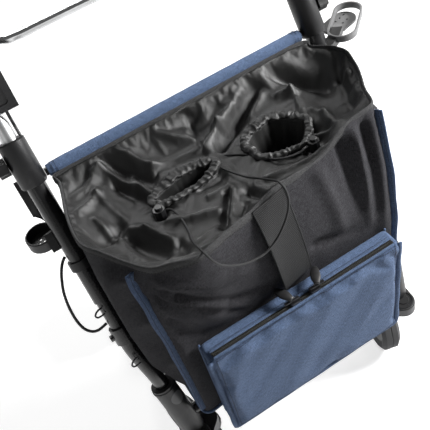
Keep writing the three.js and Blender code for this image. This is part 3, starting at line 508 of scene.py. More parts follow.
def braid(name, base, light, pitch):
    """Round cord or thread: strands that cross along the piece's own length."""
    material, tree, shader, at = new_material(name)
    x, y, _ = axes(tree, at["UV"])
    strands = [ripple((y * sign + x) * (math.pi / pitch)) for sign in (1.0, -1.0)]
    height = calc(tree, "MAXIMUM", *strands)
    put(shader, Base_Color=colour_mix(tree, height, base, light), Roughness=0.6,
        Normal=raised(tree, height, pitch * 0.25))
    return material


def ribbed_webbing(name, dark, light):
    """Webbing with ribs across it and a twill line running through them. The rib crests are painted lighter and the
    grooves darker, as painted highlight and shade, varied by noise.
    """
    material, tree, shader, at = new_material(name)
    x, y, _ = axes(tree, at["UV"])
    height = ripple((y * 0.5 + x) * (math.pi / 0.0011)) * 0.45 + ripple(y * (math.pi / 0.0028))
    # share follows the rib height: painted shade in the grooves and a painted highlight on the crests
    share = height * 0.7 * cloudy(tree, at["UV"], 700.0, 2.0)
    put(shader, Base_Color=colour_mix(tree, share, dark, light), Roughness=0.7, Specular_IOR_Level=0.3,
        Normal=raised(tree, height, 0.0009))
    return material


powder_coat = moulding("black_powder_coat", (0.012, 0.012, 0.013), 0.26, scale=1500.0, depth=0.00003, film=0.02,
                       coat=0.5, rubbed=0.01)
black_moulding = moulding("black_moulding", (0.011, 0.011, 0.012), 0.4, film=0.03)
grey_moulding = moulding("grey_moulding", (0.17, 0.17, 0.172), 0.5, film=0.06)
wheel_moulding = moulding("wheel_moulding", (0.105, 0.107, 0.112), 0.55, scale=700.0, film=0.05)
tyre_rubber = moulding("tyre_rubber", (0.075, 0.075, 0.078), 0.78, scale=1300.0, depth=0.0002, film=0.12, specular=0.35)
grip_rubber = moulding("grip_rubber", (0.02, 0.02, 0.021), 0.72, scale=600.0, depth=0.0003, film=0.06, specular=0.35)
cable_jacket = moulding("cable_jacket", (0.014, 0.014, 0.015), 0.42, scale=1800.0, depth=0.00002, film=0.03)
polished_tube = metal("polished_tube", (0.8, 0.805, 0.81), 0.36, (2400, 60, 60), depth=0.000003)
polished_bar = metal("polished_bar", (0.66, 0.665, 0.67), 0.2, (60, 2400, 2400), depth=0.000008)
zinc_plate = metal("zinc_plate", (0.42, 0.425, 0.43), 0.32, (2400, 90, 90))
dark_metal = metal("dark_metal", (0.09, 0.09, 0.095), 0.35, (900, 900, 900))
black_cloth = cloth("black_heather_cloth", (0.002, 0.002, 0.0025), (0.09, 0.088, 0.097), fleck=0.8, sheen=0.02,
                    specular=0.12)
blue_cloth = cloth("blue_heather_cloth", (0.016, 0.03, 0.068), (0.18, 0.265, 0.445), fleck=0.85, tint=(0.7, 0.8, 1, 1))
# The hem's cloth is a lighter copy of the black cloth: a painted highlight along the lit top edge of the mouth
hem_cloth = cloth("hem_cloth", (0.008, 0.008, 0.009), (0.14, 0.14, 0.142), sheen=0.05, specular=0.2)
black_lining = lining("black_lining", (0.004, 0.004, 0.0037), 0.47)
black_braid = braid("black_braid", (0.0015, 0.0015, 0.0016), (0.014, 0.014, 0.015), 0.0011)
# Black webbing whose rib crests carry a painted highlight and whose grooves carry painted shade
webbing_weave = ribbed_webbing("webbing_weave", (0.001, 0.001, 0.0012), (0.07, 0.07, 0.071))
holder_moulding = moulding("holder_moulding", (0.014, 0.014, 0.015), 0.45, film=0.05,
                           other=((0.2, 0.2, 0.202), place(297.0, 29.0, 588.0)[:], 0.036))
zip_tape = cloth("zip_tape", (0.006, 0.006, 0.006), (0.05, 0.05, 0.045), pitch=0.0006, fleck=0.5, creases=0.0002)
zip_tooth = moulding("zip_tooth", (0.03, 0.029, 0.022), 0.35, scale=2000.0, depth=0.00002, film=0.04)
blue_thread = braid("blue_thread", (0.02, 0.03, 0.06), (0.12, 0.17, 0.28), 0.0004)
black_thread = braid("black_thread", (0.01, 0.01, 0.011), (0.1, 0.1, 0.1), 0.0004)


# Free cords: routes from the middle of the bar, in millimetres
LONG_CORD = [
    (-103.2, -138, 580), (-97, -146, 581), (-96, -170, 583), (-100, -200, 588), (-106, -226, 601), (-108, -246, 610.5),
    (-107.5, -257, 613), (-106, -266, 611.5), (-103, -271, 604), (-97, -272, 592), (-86, -268, 577), (-70, -264, 562),
    (-52, -261, 553), (-34, -259, 551), (-17, -257, 558), (-3, -256, 572), (8, -255, 590), (14, -251, 605),
    (16, -243, 613.5), (16, -230, 615), (15, -212, 606), (12, -186, 592), (4, -160, 582), (-6, -132, 579),
    (-12, -106, 577), (-14, -92, 576.5),
]
SHORT_CORD = [
    (2, -96, 577), (12, -104, 577), (24, -116, 578), (34, -130, 579), (42, -146, 580), (54, -160, 580),
    (70, -168, 580), (86, -170, 580), (96.1, -170, 580),
]
LOOP_RIGHT = [
    (243.4, -48.8, 513.5), (249, -50.5, 509.5), (256, -55, 502), (263, -61, 490), (270, -69, 473), (274, -77, 453),
    (275, -86, 432), (272, -94, 416), (265, -99, 407), (257, -100.5, 403.5), (248, -100, 404), (240.7, -99, 405.5),
]
CORD_WIDTH, CABLE_WIDTH = 0.003, 0.0044


def laid_cord(name, path, width, count, material, node, follows=None):
    """A cord that goes back into the object. follows is the part of a path that stretches between two bodies."""
    tube = run_along(name, path, round_section(width / 2, count), material)
    if follows:
        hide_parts(node)
        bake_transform(tube)
    else:
        rides(tube, "cord_black", node)


for label, route, length in (("long", LONG_CORD, 0.493), ("short", SHORT_CORD, 0.128)):
    laid_cord(f"{label}_drawcord", smooth_path(placed(route), 0.003), CORD_WIDTH, 10, black_braid, f"drawcord_{label}")
for side, label in SIDES:
    route = [(side * x, y, z) for x, y, z in LOOP_RIGHT]
    laid_cord(f"cable_loop_{label}", smooth_path(placed(route), 0.003), CABLE_WIDTH, 10, cable_jacket,
              f"brake_cable_loop_{label}")

# Upper brake cables: out of the sleeve's lip and up into the housing, which slides with the handle
TUBE_LEAN, CABLE_OFFSET, HOUSING_FOOT = math.radians(24.7), 212.85, 716
cable_low, cable_lip = ((s * math.sin(TUBE_LEAN), BAR_HEIGHT + s * math.cos(TUBE_LEAN)) for s in (40.5, 58))
top_y, rise = cable_lip[0] + 2.2, HOUSING_FOOT - cable_lip[1]
UPPER_CABLE = [cable_low, cable_lip, (cable_lip[0] + rise * 0.2, cable_lip[1] + rise * 0.34),
               (top_y + 0.4, cable_lip[1] + rise * 0.7), (top_y, HOUSING_FOOT), (top_y, HOUSING_FOOT + 2)]
for side, label in SIDES:
    path = smooth_path(placed([(side * CABLE_OFFSET, y, z) for y, z in UPPER_CABLE]), 0.002)
    laid_cord(f"brake_cable_upper_{label}_jacket", path, CABLE_WIDTH, 12, cable_jacket, f"brake_cable_upper_{label}",
              follows=(8, -3))


# CAD nodes that stay, with smooth turned faces and their own finish
def smooth_turned():
    """Joins the loose triangles, shades round faces smooth and keeps real corners sharp."""
    tree, given, result = new_group("smooth_turned", {"Geometry": "Geometry", "Corner": 0.62},
                                    {"Geometry": "Geometry"}, "GeometryNodeTree")
    whole = signal(tree, "GeometryNodeMergeByDistance", Geometry=given["Geometry"], Distance=0.00001)
    plain = signal(tree, "GeometryNodeRemoveAttribute", Geometry=whole, Name="custom_normal")
    smooth = signal(tree, "GeometryNodeSetShadeSmooth", {"domain": "FACE"}, Geometry=plain, Shade_Smooth=True)
    angle = signal(tree, "GeometryNodeInputMeshEdgeAngle", out="Unsigned Angle")
    soft = signal(tree, "FunctionNodeCompare", {"data_type": "FLOAT", "operation": "LESS_THAN"}, in0=angle,
                  in1=given["Corner"])
    put(result, Geometry=signal(tree, "GeometryNodeSetShadeSmooth", {"domain": "EDGE"}, Geometry=smooth,
                                Shade_Smooth=soft))
    return tree


def patched(side, label):
    """Castor head plastic with the bare grey patch over the socket."""
    middle = place(side * 205.7, -177.6, 262.0)
    return moulding(f"head_moulding_{label}", (0.011, 0.011, 0.012), 0.4, film=0.03,
                    other=((0.13, 0.13, 0.132), middle[:], 0.0115))


TURNED = smooth_turned()
FINISHES = [
    (powder_coat, "front_tube lower_tube rear_leg crossbar lower_crossbar rear_crossbar"),
    (black_moulding, "tube_sleeve height_knob brace_collar castor_fork brake_shoe handle_housing cord_lock "
                     "cord_lock_button bag_base_board cane_cup"),
    (grip_rubber, "grip"), (polished_tube, "handle_stem"), (zinc_plate, "brace_strut"), (dark_metal, "zip_slider"),
    (tyre_rubber, "castor_tyre rear_tyre"), (wheel_moulding, "castor_rim rear_rim"), (polished_bar, "brake_bar"),
    (grey_moulding, "holder_band"), (holder_moulding, "bottle_holder"),
]
NODE_FINISH = {kind: material for material, kinds in FINISHES for kind in kinds.split()}
NODE_FINISH |= {f"castor_head_{label}": patched(side, label) for side, label in SIDES}
for node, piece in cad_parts.items():
    finish = NODE_FINISH.get(node) or NODE_FINISH.get(node.removesuffix("_left").removesuffix("_right"))
    if finish:
        piece.data.materials.clear()
        piece.data.materials.append(finish)
        piece.modifiers.new("smooth_turned", "NODES").node_group = TURNED


# Bag: outline shares of the mouth and of the boxy lower part, anticlockwise from the left side
OUTLINE = [
    ((-0.925, 0.105), (-1, 0.05)), ((-0.99, 0.345), (-1, 0.35)), ((-1, 0.545), (-1, 0.6)),
    ((-0.91, 0.71), (-1, 0.8)), ((-0.79, 0.865), (-0.98, 0.99)), ((-0.66, 0.945), (-0.8, 1)),
    ((-0.5, 1), (-0.55, 1)), ((-0.27, 0.945), (-0.3, 1)), ((-0.02, 0.88), (0, 1)),
    ((0.22, 0.84), (0.28, 1)), ((0.47, 0.785), (0.55, 1)), ((0.65, 0.75), (0.8, 1)),
    ((0.82, 0.725), (0.98, 0.99)), ((0.875, 0.57), (1, 0.75)), ((0.955, 0.37), (1, 0.45)),
    ((0.98, 0.24), (1, 0.25)), ((0.925, 0.085), (1, 0.03)), ((0.90, 0.037), (0.97, 0)),
    ((0.45, 0.037), (0.5, 0)), ((0, 0.037), (0, 0)), ((-0.45, 0.037), (-0.5, 0)), ((-0.90, 0.037), (-0.97, 0)),
]
LEVELS = [(0, 1, 0), (0.22, 1, 0), (0.41, 1, 0), (0.515, 1, 0), (0.76, 1.01, 0.45), (0.948, 1.02, 0.92), (1, 1.02, 1)]
BAG_LOW, BAG_TOP, BAG_BACK_TOP = 226.0, 610.0, 618.0
HALF_WIDTH, MOUTH_HALF_WIDTH, MOUTH_DEPTH, BACK = 182.0, 226.0, 262.0, -9.6
LEFT_CORNER, FRONT_MIDDLE, RIGHT_CORNER = 4, 8, 12
FRONT_LOW, FRONT_SLOPE = -208, -18 / 198
RING_COUNT, STEP = 264, 48  # STEP is the mean length between two outline points


def front_at(height):
    """Where the bag's leaning front stands at a height."""
    return FRONT_LOW + (height - BAG_LOW) * FRONT_SLOPE


def control_ring(height):
    """The bag's outline at a height, between the boxy lower part and the mouth."""
    shares, widths, blends = zip(*LEVELS)
    share = (height - BAG_LOW) / (BAG_TOP - BAG_LOW)
    width, blend = np.interp(share, shares, widths), np.interp(share, shares, blends)
    mouth, base = np.array(OUTLINE, float).transpose(1, 0, 2)
    low = base * (HALF_WIDTH * width, front_at(height) - BACK) + (0, BACK)
    high = mouth * (MOUTH_HALF_WIDTH, -MOUTH_DEPTH)
    return np.column_stack([low + (high - low) * blend, np.full(len(OUTLINE), height)])


def spline_at(control, t):
    """Points on the closed line through the control points, at index positions t."""
    k = np.floor(t).astype(int)
    return catmull_rom(*(control[(k + i) % len(control)] for i in (-1, 0, 1, 2)), (t - k)[:, None])


fine_t = np.linspace(0, len(OUTLINE), 1761)
mouth_run = run_lengths(spline_at(control_ring(BAG_TOP), fine_t))
RING_T = np.interp(np.linspace(0, mouth_run[-1], RING_COUNT, endpoint=False), mouth_run, fine_t)


def bag_line(height, inset=0.0):
    """The outline's points at a height, and the way out of the bag at each."""
    control = control_ring(height)
    line, ahead, behind = (spline_at(control, (RING_T + step) % len(OUTLINE)) for step in (0, 0.03, -0.03))
    out = outward(unit(ahead - behind))
    return line - out * inset, out


# Soft folds of the outer cloth: from (outline index, height) to (outline index, height), half width, rise
FOLDS = [
    ((4.5, 585), (7.4, 505), 11, 2.6), ((4.9, 552), (6.9, 455), 5, -3.0), ((4.5, 560), (6.6, 452), 9, 3.0),
    ((4.1, 562), (5.6, 494), 5, -3.2), ((5.4, 500), (6.9, 410), 5, -2.4), ((4.3, 506), (4.9, 460), 7, -3.0),
    ((4.4, 470), (5.6, 420), 16, -3.0), ((4.2, 540), (5.2, 470), 8, 2.4), ((9.4, 600), (9.9, 470), 12, 3.5),
    ((10.3, 600), (10.6, 480), 11, -4.5), ((10.9, 600), (10.9, 450), 10, 5.0), ((11.4, 590), (11.3, 460), 8, -3.5),
    ((11.8, 600), (11.5, 430), 8, 3.0), ((9.0, 470), (10.4, 445), 9, -3.0), ((6.3, 470), (7.8, 450), 10, -3.0),
    ((3.6, 590), (1.2, 520), 14, 4.5), ((3.7, 545), (1.5, 450), 13, -5.0), ((3.6, 500), (1.8, 390), 12, 5.0),
    ((3.7, 450), (2.2, 330), 12, -4.5), ((3.8, 400), (2.4, 290), 11, 4.0), ((3.9, 340), (2.8, 250), 10, -3.0),
    ((2.0, 600), (0.6, 560), 10, -4.0), ((1.4, 480), (0.5, 380), 12, 3.5), ((2.6, 260), (0.6, 250), 10, -3.0),
    ((12.4, 590), (14.2, 530), 12, 4.0), ((12.3, 540), (14.6, 450), 12, -4.5), ((12.4, 490), (14.4, 380), 12, 4.5),
    ((12.3, 420), (13.8, 310), 11, -4.0), ((12.2, 350), (13.6, 260), 10, 3.0), ((14.8, 600), (15.8, 540), 10, -4.0),
    ((15.2, 500), (16.2, 400), 12, 3.5), ((17.6, 560), (19.2, 470), 16, 5.0), ((19.8, 570), (20.6, 430), 15, -5.0),
    ((18.2, 420), (20.4, 360), 16, 4.0), ((17.8, 330), (20.9, 300), 14, -4.0), ((5.6, 400), (10.6, 392), 20, 1.5),
]

# How far out the gussets belly, by height: beside the lower tube, and in front of it
BELLY_HEIGHTS = [232, 262, 285, 320, 340, 430, 500, 560, 600]
BESIDE_TUBE = [182, 190, 200, 206, 207, 208, 210, 213, 214]
AHEAD_OF_TUBE = [182, 191, 202, 211, 216, 221, 221, 218, 214]
TUBE_BEND_Y, TUBE_BEND = -60, 471


def side_bulge(line, height):
    """The gussets belly out round the lower tubes, and the mouth spreads at the right and draws in at the left."""
    x, y = line[:, 0].copy(), line[:, 1]
    tube_y = TUBE_BEND_Y + (height - TUBE_BEND) * (0.518 if height < TUBE_BEND else 0.46)
    ahead = smooth_step(-y, -tube_y + 12, -tube_y + 30)
    beside, before = (np.interp(height, BELLY_HEIGHTS, reach) for reach in (BESIDE_TUBE, AHEAD_OF_TUBE))
    target = beside + (before - beside) * ahead
    start = np.interp(height, [400, 445], [118, 74])
    corner_y = -front_at(height)
    gap = np.clip(target - np.abs(x), 0, None) * np.where(x > 0, 0.45 * (1 - smooth_step(height, 460, 560)), 1)
    gap *= smooth_step(-y, start, start + 28) * (1 - smooth_step(-y, corner_y - 64, corner_y - 12))
    line[:, 0] += np.sign(x) * gap * smooth_step(np.abs(x), 150, 172) * (1 - smooth_step(height, 570, 606))
    spread = 14 * smooth_step(x, 150, 205) * smooth_step(-y, 8, 50) * (1 - smooth_step(-y, 95, 200))
    line[:, 0] += (spread + 8 * smooth_step(-x, 150, 205)) * smooth_step(height, 552, 606)
    return line


def fold_rise(t, height):
    """How far the walls stand out at a height: folded and rumpled, but flat behind the pocket and at the corners."""
    rise = np.array([1.3 * noise.noise((at * 1.9, height * 0.021, 3.7))
                     + 0.5 * noise.noise((at * 6.0, height * 0.06, 9.1)) for at in t])
    for (start_t, start_z), (end_t, end_z), width, amount in FOLDS:
        distance, along = segment_distance(t * STEP, height, (start_t * STEP, start_z), (end_t * STEP, end_z))
        rise += 2.5 * amount * bump_profile(distance, width * 0.8) * (1 - 0.75 * along)
    behind_pocket = ramp(height, 436, 412) * ramp(np.minimum(t - 4.3, 11.7 - t), 0, 0.4)
    rise = rise * (1 - behind_pocket) - 0.4 * behind_pocket
    corner = np.minimum(np.abs(t - LEFT_CORNER), np.abs(t - RIGHT_CORNER))
    rise *= 1 - 0.9 * bump_profile(corner, 0.3)
    pucker = 0.5 * bump_profile(corner, 0.16) * math.sin(height * 0.55)
    near_back = ramp(t, 16.2, 17.0) * ramp(t, 22, 21.2) * ramp(height, 560, 590)
    return (rise * (1 - near_back) + pucker) * np.clip((BAG_TOP - height) / 22, 0.12, 1)


# Where the mouth's edge dips and lifts: outline index, width, rise
MOUTH_WAVES = [(9.55, 0.62, -14), (11.4, 0.6, 6), (7.7, 0.5, -6), (6.1, 0.6, 5)]


def mouth_lift(t):
    """How far the mouth's edge stands above its level: up to the bar at the back, slightly wavy elsewhere."""
    back = np.clip(ramp(t, 16.4, 17.3) * ramp(t, 22.4, 21.5) + ramp(t, 0.4, -0.5), 0, 1)
    wave = 1.3 * np.sin(t * 2.6 + 0.4) + 0.9 * np.sin(t * 4.7 + 1.9) - 1.2
    wave += sum(rise * bump_profile(t - at, width) for at, width, rise in MOUTH_WAVES)
    return back * (BAG_BACK_TOP - BAG_TOP) + (1 - back) * wave


wall_rows = []
for height in np.arange(BAG_LOW, BAG_TOP + 1, (BAG_TOP - BAG_LOW) / 64):
    line, out = bag_line(height)
    line = side_bulge(line + out * fold_rise(RING_T, height)[:, None], height)
    line[:, 2] += mouth_lift(RING_T) * ramp(height, 560, BAG_TOP) ** 2
    wall_rows.append(line)
foot_line, foot_middle = bag_line(BAG_LOW)[0], np.array([0, -109, BAG_LOW + 1.5])
floor_rows = [foot_middle + (foot_line - foot_middle) * max(share, 0.02) - UP * 1.2 * share
              for share in (0.0, 0.35, 0.7, 0.92, 0.985)]
shell = grid_piece("bag_outer_cloth", placed(floor_rows + wall_rows), black_cloth, ring=True, ends=1)
rides(finished(shell, wall(0.0016, -1.0)), "fabric_black", "bag_shell")


# What repeats along a line, made by Geometry Nodes
def row_tree(name, inputs, item, axis, least, most, aside=None):
    """Sets an item at every step of a line, turned along it, each a little larger or smaller than the next."""
    tree, given, result = new_group(name, {"Geometry": "Geometry", **inputs, "Seed": 3, "Finish": "Material"},
                                    {"Geometry": "Geometry"}, "GeometryNodeTree")
    line = signal(tree, "GeometryNodeMeshToCurve", Mesh=given["Geometry"])
    steps = signal(tree, "GeometryNodeResampleCurve", {"mode": "LENGTH"}, Curve=line, Length=given["Pitch"])
    if aside:
        steps = signal(tree, "GeometryNodeSetPosition", Geometry=steps, Offset=aside(tree, given))
    aim = signal(tree, "FunctionNodeAlignRotationToVector", {"axis": axis},
                 Vector=signal(tree, "GeometryNodeInputTangent"))
    size = signal(tree, "FunctionNodeRandomValue", {"data_type": "FLOAT"}, 1, Min=least, Max=most, Seed=given["Seed"])
    many = signal(tree, "GeometryNodeInstanceOnPoints", Points=steps, Instance=item(tree, given), Rotation=aim,
                  Scale=size)
    real = signal(tree, "GeometryNodeRealizeInstances", Geometry=many)
    put(result, Geometry=signal(tree, "GeometryNodeSetMaterial", Geometry=real, Material=given["Finish"]))
    return tree


def chained(lines):
    """Points and edges of lines, each given with whether it closes."""
    points, edges = [], []
    for line, closed in lines:
        start, n = len(points), len(line)
        points += [tuple(p) for p in line]
        edges += [(start + k, start + (k + 1) % n) for k in range(n if closed else n - 1)]
    return points, edges


def grown(name, lines, tree, **values):
    """Runs a tree on lines and keeps the result as one plain mesh."""
    mesh = bpy.data.meshes.new(name)
    mesh.from_pydata(*chained(lines), [])
    piece = linked(name, mesh)
    keys = {item.name: item.identifier for item in tree.interface.items_tree if item.in_out == "INPUT"}
    settings = {keys[label.replace("_", " ")]: value for label, value in values.items()}
    finished(piece, ("NODES", {"node_group": tree, **settings}))
    piece.data.polygons.foreach_set("use_smooth", [True] * len(piece.data.polygons))
    return piece


def stitch(tree, given):
    return signal(tree, "GeometryNodeMeshCylinder", Vertices=6, Side_Segments=1, Radius=given["Thickness"],
                  Depth=given["Stitch Length"])


STITCHES = row_tree("stitch_row", {"Pitch": 0.004, "Stitch Length": 0.0028, "Thickness": 0.0004}, stitch, "Z", 0.85,
                    1.1)


def stitched(name, lines, thread, slot, pitch=0.004, length=0.0028, thickness=0.00042):
    row = grown(name, lines, STITCHES, Pitch=pitch, Stitch_Length=length, Thickness=thickness, Seed=11, Finish=thread)
    rides(row, slot)


# Hem of the mouth: a folded binding over the cloth's edge, in a lighter copy of the black cloth as a painted highlight
# along the mouth's top
HEM = [(0.5, -11), (1.0, -10.4), (1.0, -1.6), (0.6, 0.4), (-0.3, 1.1), (-1.4, 0.7), (-2.4, -1.0), (-3.0, -10),
       (-2.4, -10.6), (-1.6, -2.4), (-0.6, -0.8), (0.1, -11)]
mouth_path, mouth_out = placed(wall_rows[-1]), bag_line(BAG_TOP)[1]
hem_rows = []
for k, (at, out) in enumerate(zip(mouth_path, mouth_out)):
    puff = (1 + 0.25 * noise.noise((k * 0.21, 1.3, 0.2))) * MM
    fall = (1 + 0.12 * noise.noise((k * 0.13, 5.3, 2.2))) * MM
    hem_rows.append([at + out * a * puff + UP * b * fall for a, b in HEM])
rides(grid_piece("mouth_hem", hem_rows, hem_cloth, ring=True, loop=True), "fabric_black")
stitched("hem_stitches", [(mouth_path + mouth_out * 1.15 * MM - UP * 9 * MM, True)], black_thread, "fabric_black")


# Blue bindings down the two front corners, standing out of the seam as a folded fin
def levelled(points, reach):
    """Each point as the mean of its neighbours along the line."""
    return np.array([np.mean(points[max(0, k - reach):k + reach + 1], axis=0) for k in range(len(points))])


def folded(face, *tip):
    """The section of a folded strip: one face, its tip and the other face."""
    return face + [*tip] + [(a, -b) for a, b in face[::-1]]


for corner, label, drift, lean in ((LEFT_CORNER, "left", -0.3, 0.75), (RIGHT_CORNER, "right", 0.1, 0.2)):
    places = corner + drift * (np.arange(64) / 63) ** 2
    before, spine, after = (np.array([between(t, RING_T, row) for t, row in zip(places + step, wall_rows[1:])])
                            for step in (-0.12, 0, 0.12))
    outs = unit(levelled(outward(unit(after - before)), 9))
    path = smooth_path(placed(levelled(spine, 4))[::-1], 0.004)
    run = np.linspace(0, 1, len(path))
    fin_out = between(run, np.linspace(0, 1, len(outs)), outs[::-1])
    wobble = lean + np.array([0.2 * noise.noise((k * 0.045, corner, 0.5)) for k in range(len(path))])
    tangent = directions(path)
    fin_out = unit(fin_out + np.cross(tangent, fin_out) * wobble[:, None])

    def fin_section(k, run=run):
        reach = (10.8 - 3.2 * run[k] + 0.8 * noise.noise((run[k] * 9, 2.0, 5.0))) * MM
        thick = 1.5 * MM
        return folded([(-1.5 * MM, -thick), (reach * 0.6, -thick * 0.9), (reach * 0.93, -thick * 0.8)], (reach, 0))

    rides(run_along(f"corner_binding_{label}", path, fin_section, blue_cloth, sides=fin_out), "fabric_blue")
    across = np.cross(tangent, fin_out)
    rows = [(path + fin_out * 5.2 * MM + across * side * 1.55 * MM, False) for side in (-1, 1)]
    stitched(f"binding_stitches_{label}", rows, blue_thread, "fabric_blue")

# Blue binding round the foot of the bag
foot, foot_out = bag_line(BAG_LOW + 3)
foot_section = [(a * MM, b * MM) for a, b in ((-0.5, -2.6), (2.6, -2.4), (3.6, 0), (2.6, 2.4), (-0.5, 2.6))]
rides(run_along("foot_binding", placed(foot), foot_section, blue_cloth, sides=foot_out, closed=True),
      "fabric_blue")

# Liner: one gathered sheet sewn under the hem. Each of its two drawcord openings has a middle and half sizes
MOUTHS = {"left": (-62.0, -112.0, 45.0, 11.0), "right": (80.0, -122.0, 40.0, 31.0)}
MOUTH_TILTS = {"left": 8, "right": -4}
LOCKS = [(-112.0, -138.0), (104.0, -170.0)]
LINER_EDGE, LINER_MIDDLE, OPENING_LEVEL, LOCK_SEAT, CHANNEL_LEVEL, THROAT_TOP = 606.5, 576.0, 578.0, 570.5, 581.0, 580.0
rim_line = side_bulge(bag_line(BAG_TOP, 3.0)[0], BAG_TOP)
rim_line[:, 2] = LINER_EDGE + mouth_lift(RING_T)
rim = between(np.linspace(0, RING_COUNT, 232, endpoint=False), np.arange(RING_COUNT + 1),
              np.vstack([rim_line, rim_line[:1]]))


def mouth_loop(label, count, grow=0.0):
    """A slightly uneven oval round an opening."""
    x, y, half_x, half_y = MOUTHS[label]
    tilt, a = math.radians(MOUTH_TILTS[label]), np.array(angles(count))
    reach = 1 + 0.05 * np.sin(5 * a + 1) + 0.03 * np.sin(9 * a)
    u, v = (half_x + grow) * np.cos(a) * reach, (half_y + grow) * np.sin(a) * reach
    return np.column_stack([x + u * math.cos(tilt) - v * math.sin(tilt), y + u * math.sin(tilt) + v * math.cos(tilt)])


def angle_round(label, points):
    x, y = MOUTHS[label][:2]
    return np.arctan2(points[:, 1] - y, points[:, 0] - x)


def sway(turn):
    """How an opening's edge stands higher at the back than in front."""
    return 3.0 * np.sin(turn - 0.3)


def spans(points, ring):
    """Distances from each point to each point of a ring, seen from above."""
    return np.hypot(points[:, None, 0] - ring[None, :, 0], points[:, None, 1] - ring[None, :, 1])


def inside(points, ring):
    hit = np.zeros(len(points), bool)
    for a, b in zip(ring, np.roll(ring, -1, axis=0)):
        cross = (a[1] > points[:, 1]) != (b[1] > points[:, 1])
        with np.errstate(divide="ignore", invalid="ignore"):
            x = (b[0] - a[0]) * (points[:, 1] - a[1]) / (b[1] - a[1]) + a[0]
        hit ^= cross & (points[:, 0] < x)
    return hit


def gathered_liner():
    """The sheet seen from above: its points, its faces, and the rings of its two openings."""
    rings = [rim[:, :2], mouth_loop("left", 48), mouth_loop("right", 60)]
    rng = np.random.default_rng(4)
    spacing, shake = 4.2, 0.6
    low, high = rim.min(axis=0), rim.max(axis=0)
    inner = np.array([(x + rng.uniform(-shake, shake), y + rng.uniform(-shake, shake))
                      for r, y in enumerate(np.arange(low[1], high[1], spacing * 0.866))
                      for x in np.arange(low[0] + (r % 2) * spacing / 2, high[0], spacing)])
    keep = inside(inner, rings[0]) & ~inside(inner, rings[1]) & ~inside(inner, rings[2])
    for ring in rings:
        keep &= spans(inner, ring).min(axis=1) > spacing * 0.62
    points, edges = chained([(ring, True) for ring in rings])
    flat, _, faces, *_ = geometry.delaunay_2d_cdt([Vector(p) for p in [*points, *inner[keep]]], edges, [], 1, 1e-4)
    flat = np.array([tuple(p) for p in flat])
    centres = np.array([flat[list(f)].mean(axis=0) for f in faces])
    cut = inside(centres, rings[1]) | inside(centres, rings[2])
    return flat, [tuple(f) for f, gone in zip(faces, cut) if not gone], rings[1:]


# Large folds of the liner as they lie in the picture: ends in picture places, half width and rise
LINER_FOLDS = [
    # left third, fanning out of the left gathers
    ((106, 179), (79, 207), 7, 9), ((106, 179), (147, 192), 8, 10), ((83, 178), (62, 209), 6, 7),
    ((101, 198), (84, 222), 6, 8), ((101, 198), (124, 216), 7, 6), ((94, 188), (72, 214), 7, -6),
    ((118, 190), (150, 200), 8, -9), ((132, 178), (150, 194), 6, 7), ((99, 222), (123, 242), 7, 9),
    ((123, 242), (146, 265), 7, 9), ((122, 226), (112, 236), 11, -12), ((124, 226), (148, 225), 7, 8),
    ((148, 225), (172, 237), 7, 8), ((132, 238), (160, 250), 13, -13), ((60, 190), (70, 222), 7, -5),
    ((74, 232), (104, 246), 8, -6),
    # back left: the broad ridge over its dark hollow
    ((96, 160), (154, 171), 9, 12), ((154, 171), (200, 150), 9, 7), ((88, 168), (150, 183), 10, -12),
    ((116, 142), (176, 118), 8, 8), ((126, 154), (190, 128), 12, -14), ((176, 118), (214, 94), 8, 9),
    ((196, 126), (214, 108), 9, -8),
    # middle: seam and the long ridge to the back
    ((182, 112), (206, 156), 3.5, -4), ((206, 153), (222, 130), 8, 12), ((222, 130), (256, 90), 9, 14),
    ((220, 147), (254, 97), 10, -16), ((160, 146), (200, 143), 9, 6), ((150, 190), (196, 168), 7, -6),
    # front middle
    ((167, 221), (220, 208), 12, 11), ((190, 248), (220, 228), 9, 7), ((226, 188), (224, 230), 5, -9),
    ((233, 188), (232, 224), 6, 10), ((244, 200), (242, 216), 6, -7), ((178, 238), (186, 250), 8, -7),
    ((207, 194), (228, 182), 5, 7), ((200, 186), (222, 174), 5, -6), ((246, 186), (264, 196), 7, -9),
    # right: hollow behind the right opening, then folds down the side
    ((280, 72), (309, 64), 7, 10), ((309, 64), (328, 64), 7, 8), ((276, 84), (326, 84), 13, -15),
    ((278, 99), (291, 94), 6, 9), ((291, 94), (302, 113), 6, 9), ((337, 44), (341, 80), 6, -9),
    ((341, 80), (353, 112), 6, -9), ((347, 62), (349, 84), 6, 9), ((349, 84), (357, 104), 6, 7),
    ((356, 56), (358, 92), 5, -7), ((311, 112), (323, 115), 5, 7), ((323, 115), (334, 126), 6, 8),
    ((304, 124), (330, 128), 6, -8), ((312, 134), (340, 132), 6, 8), ((318, 146), (338, 146), 6, -8),
    ((314, 154), (330, 156), 6, 7), ((267, 176), (330, 154), 6, 9), ((272, 186), (332, 163), 5, -9),
    ((258, 70), (290, 60), 9, -8), ((262, 100), (252, 118), 6, 6),
]


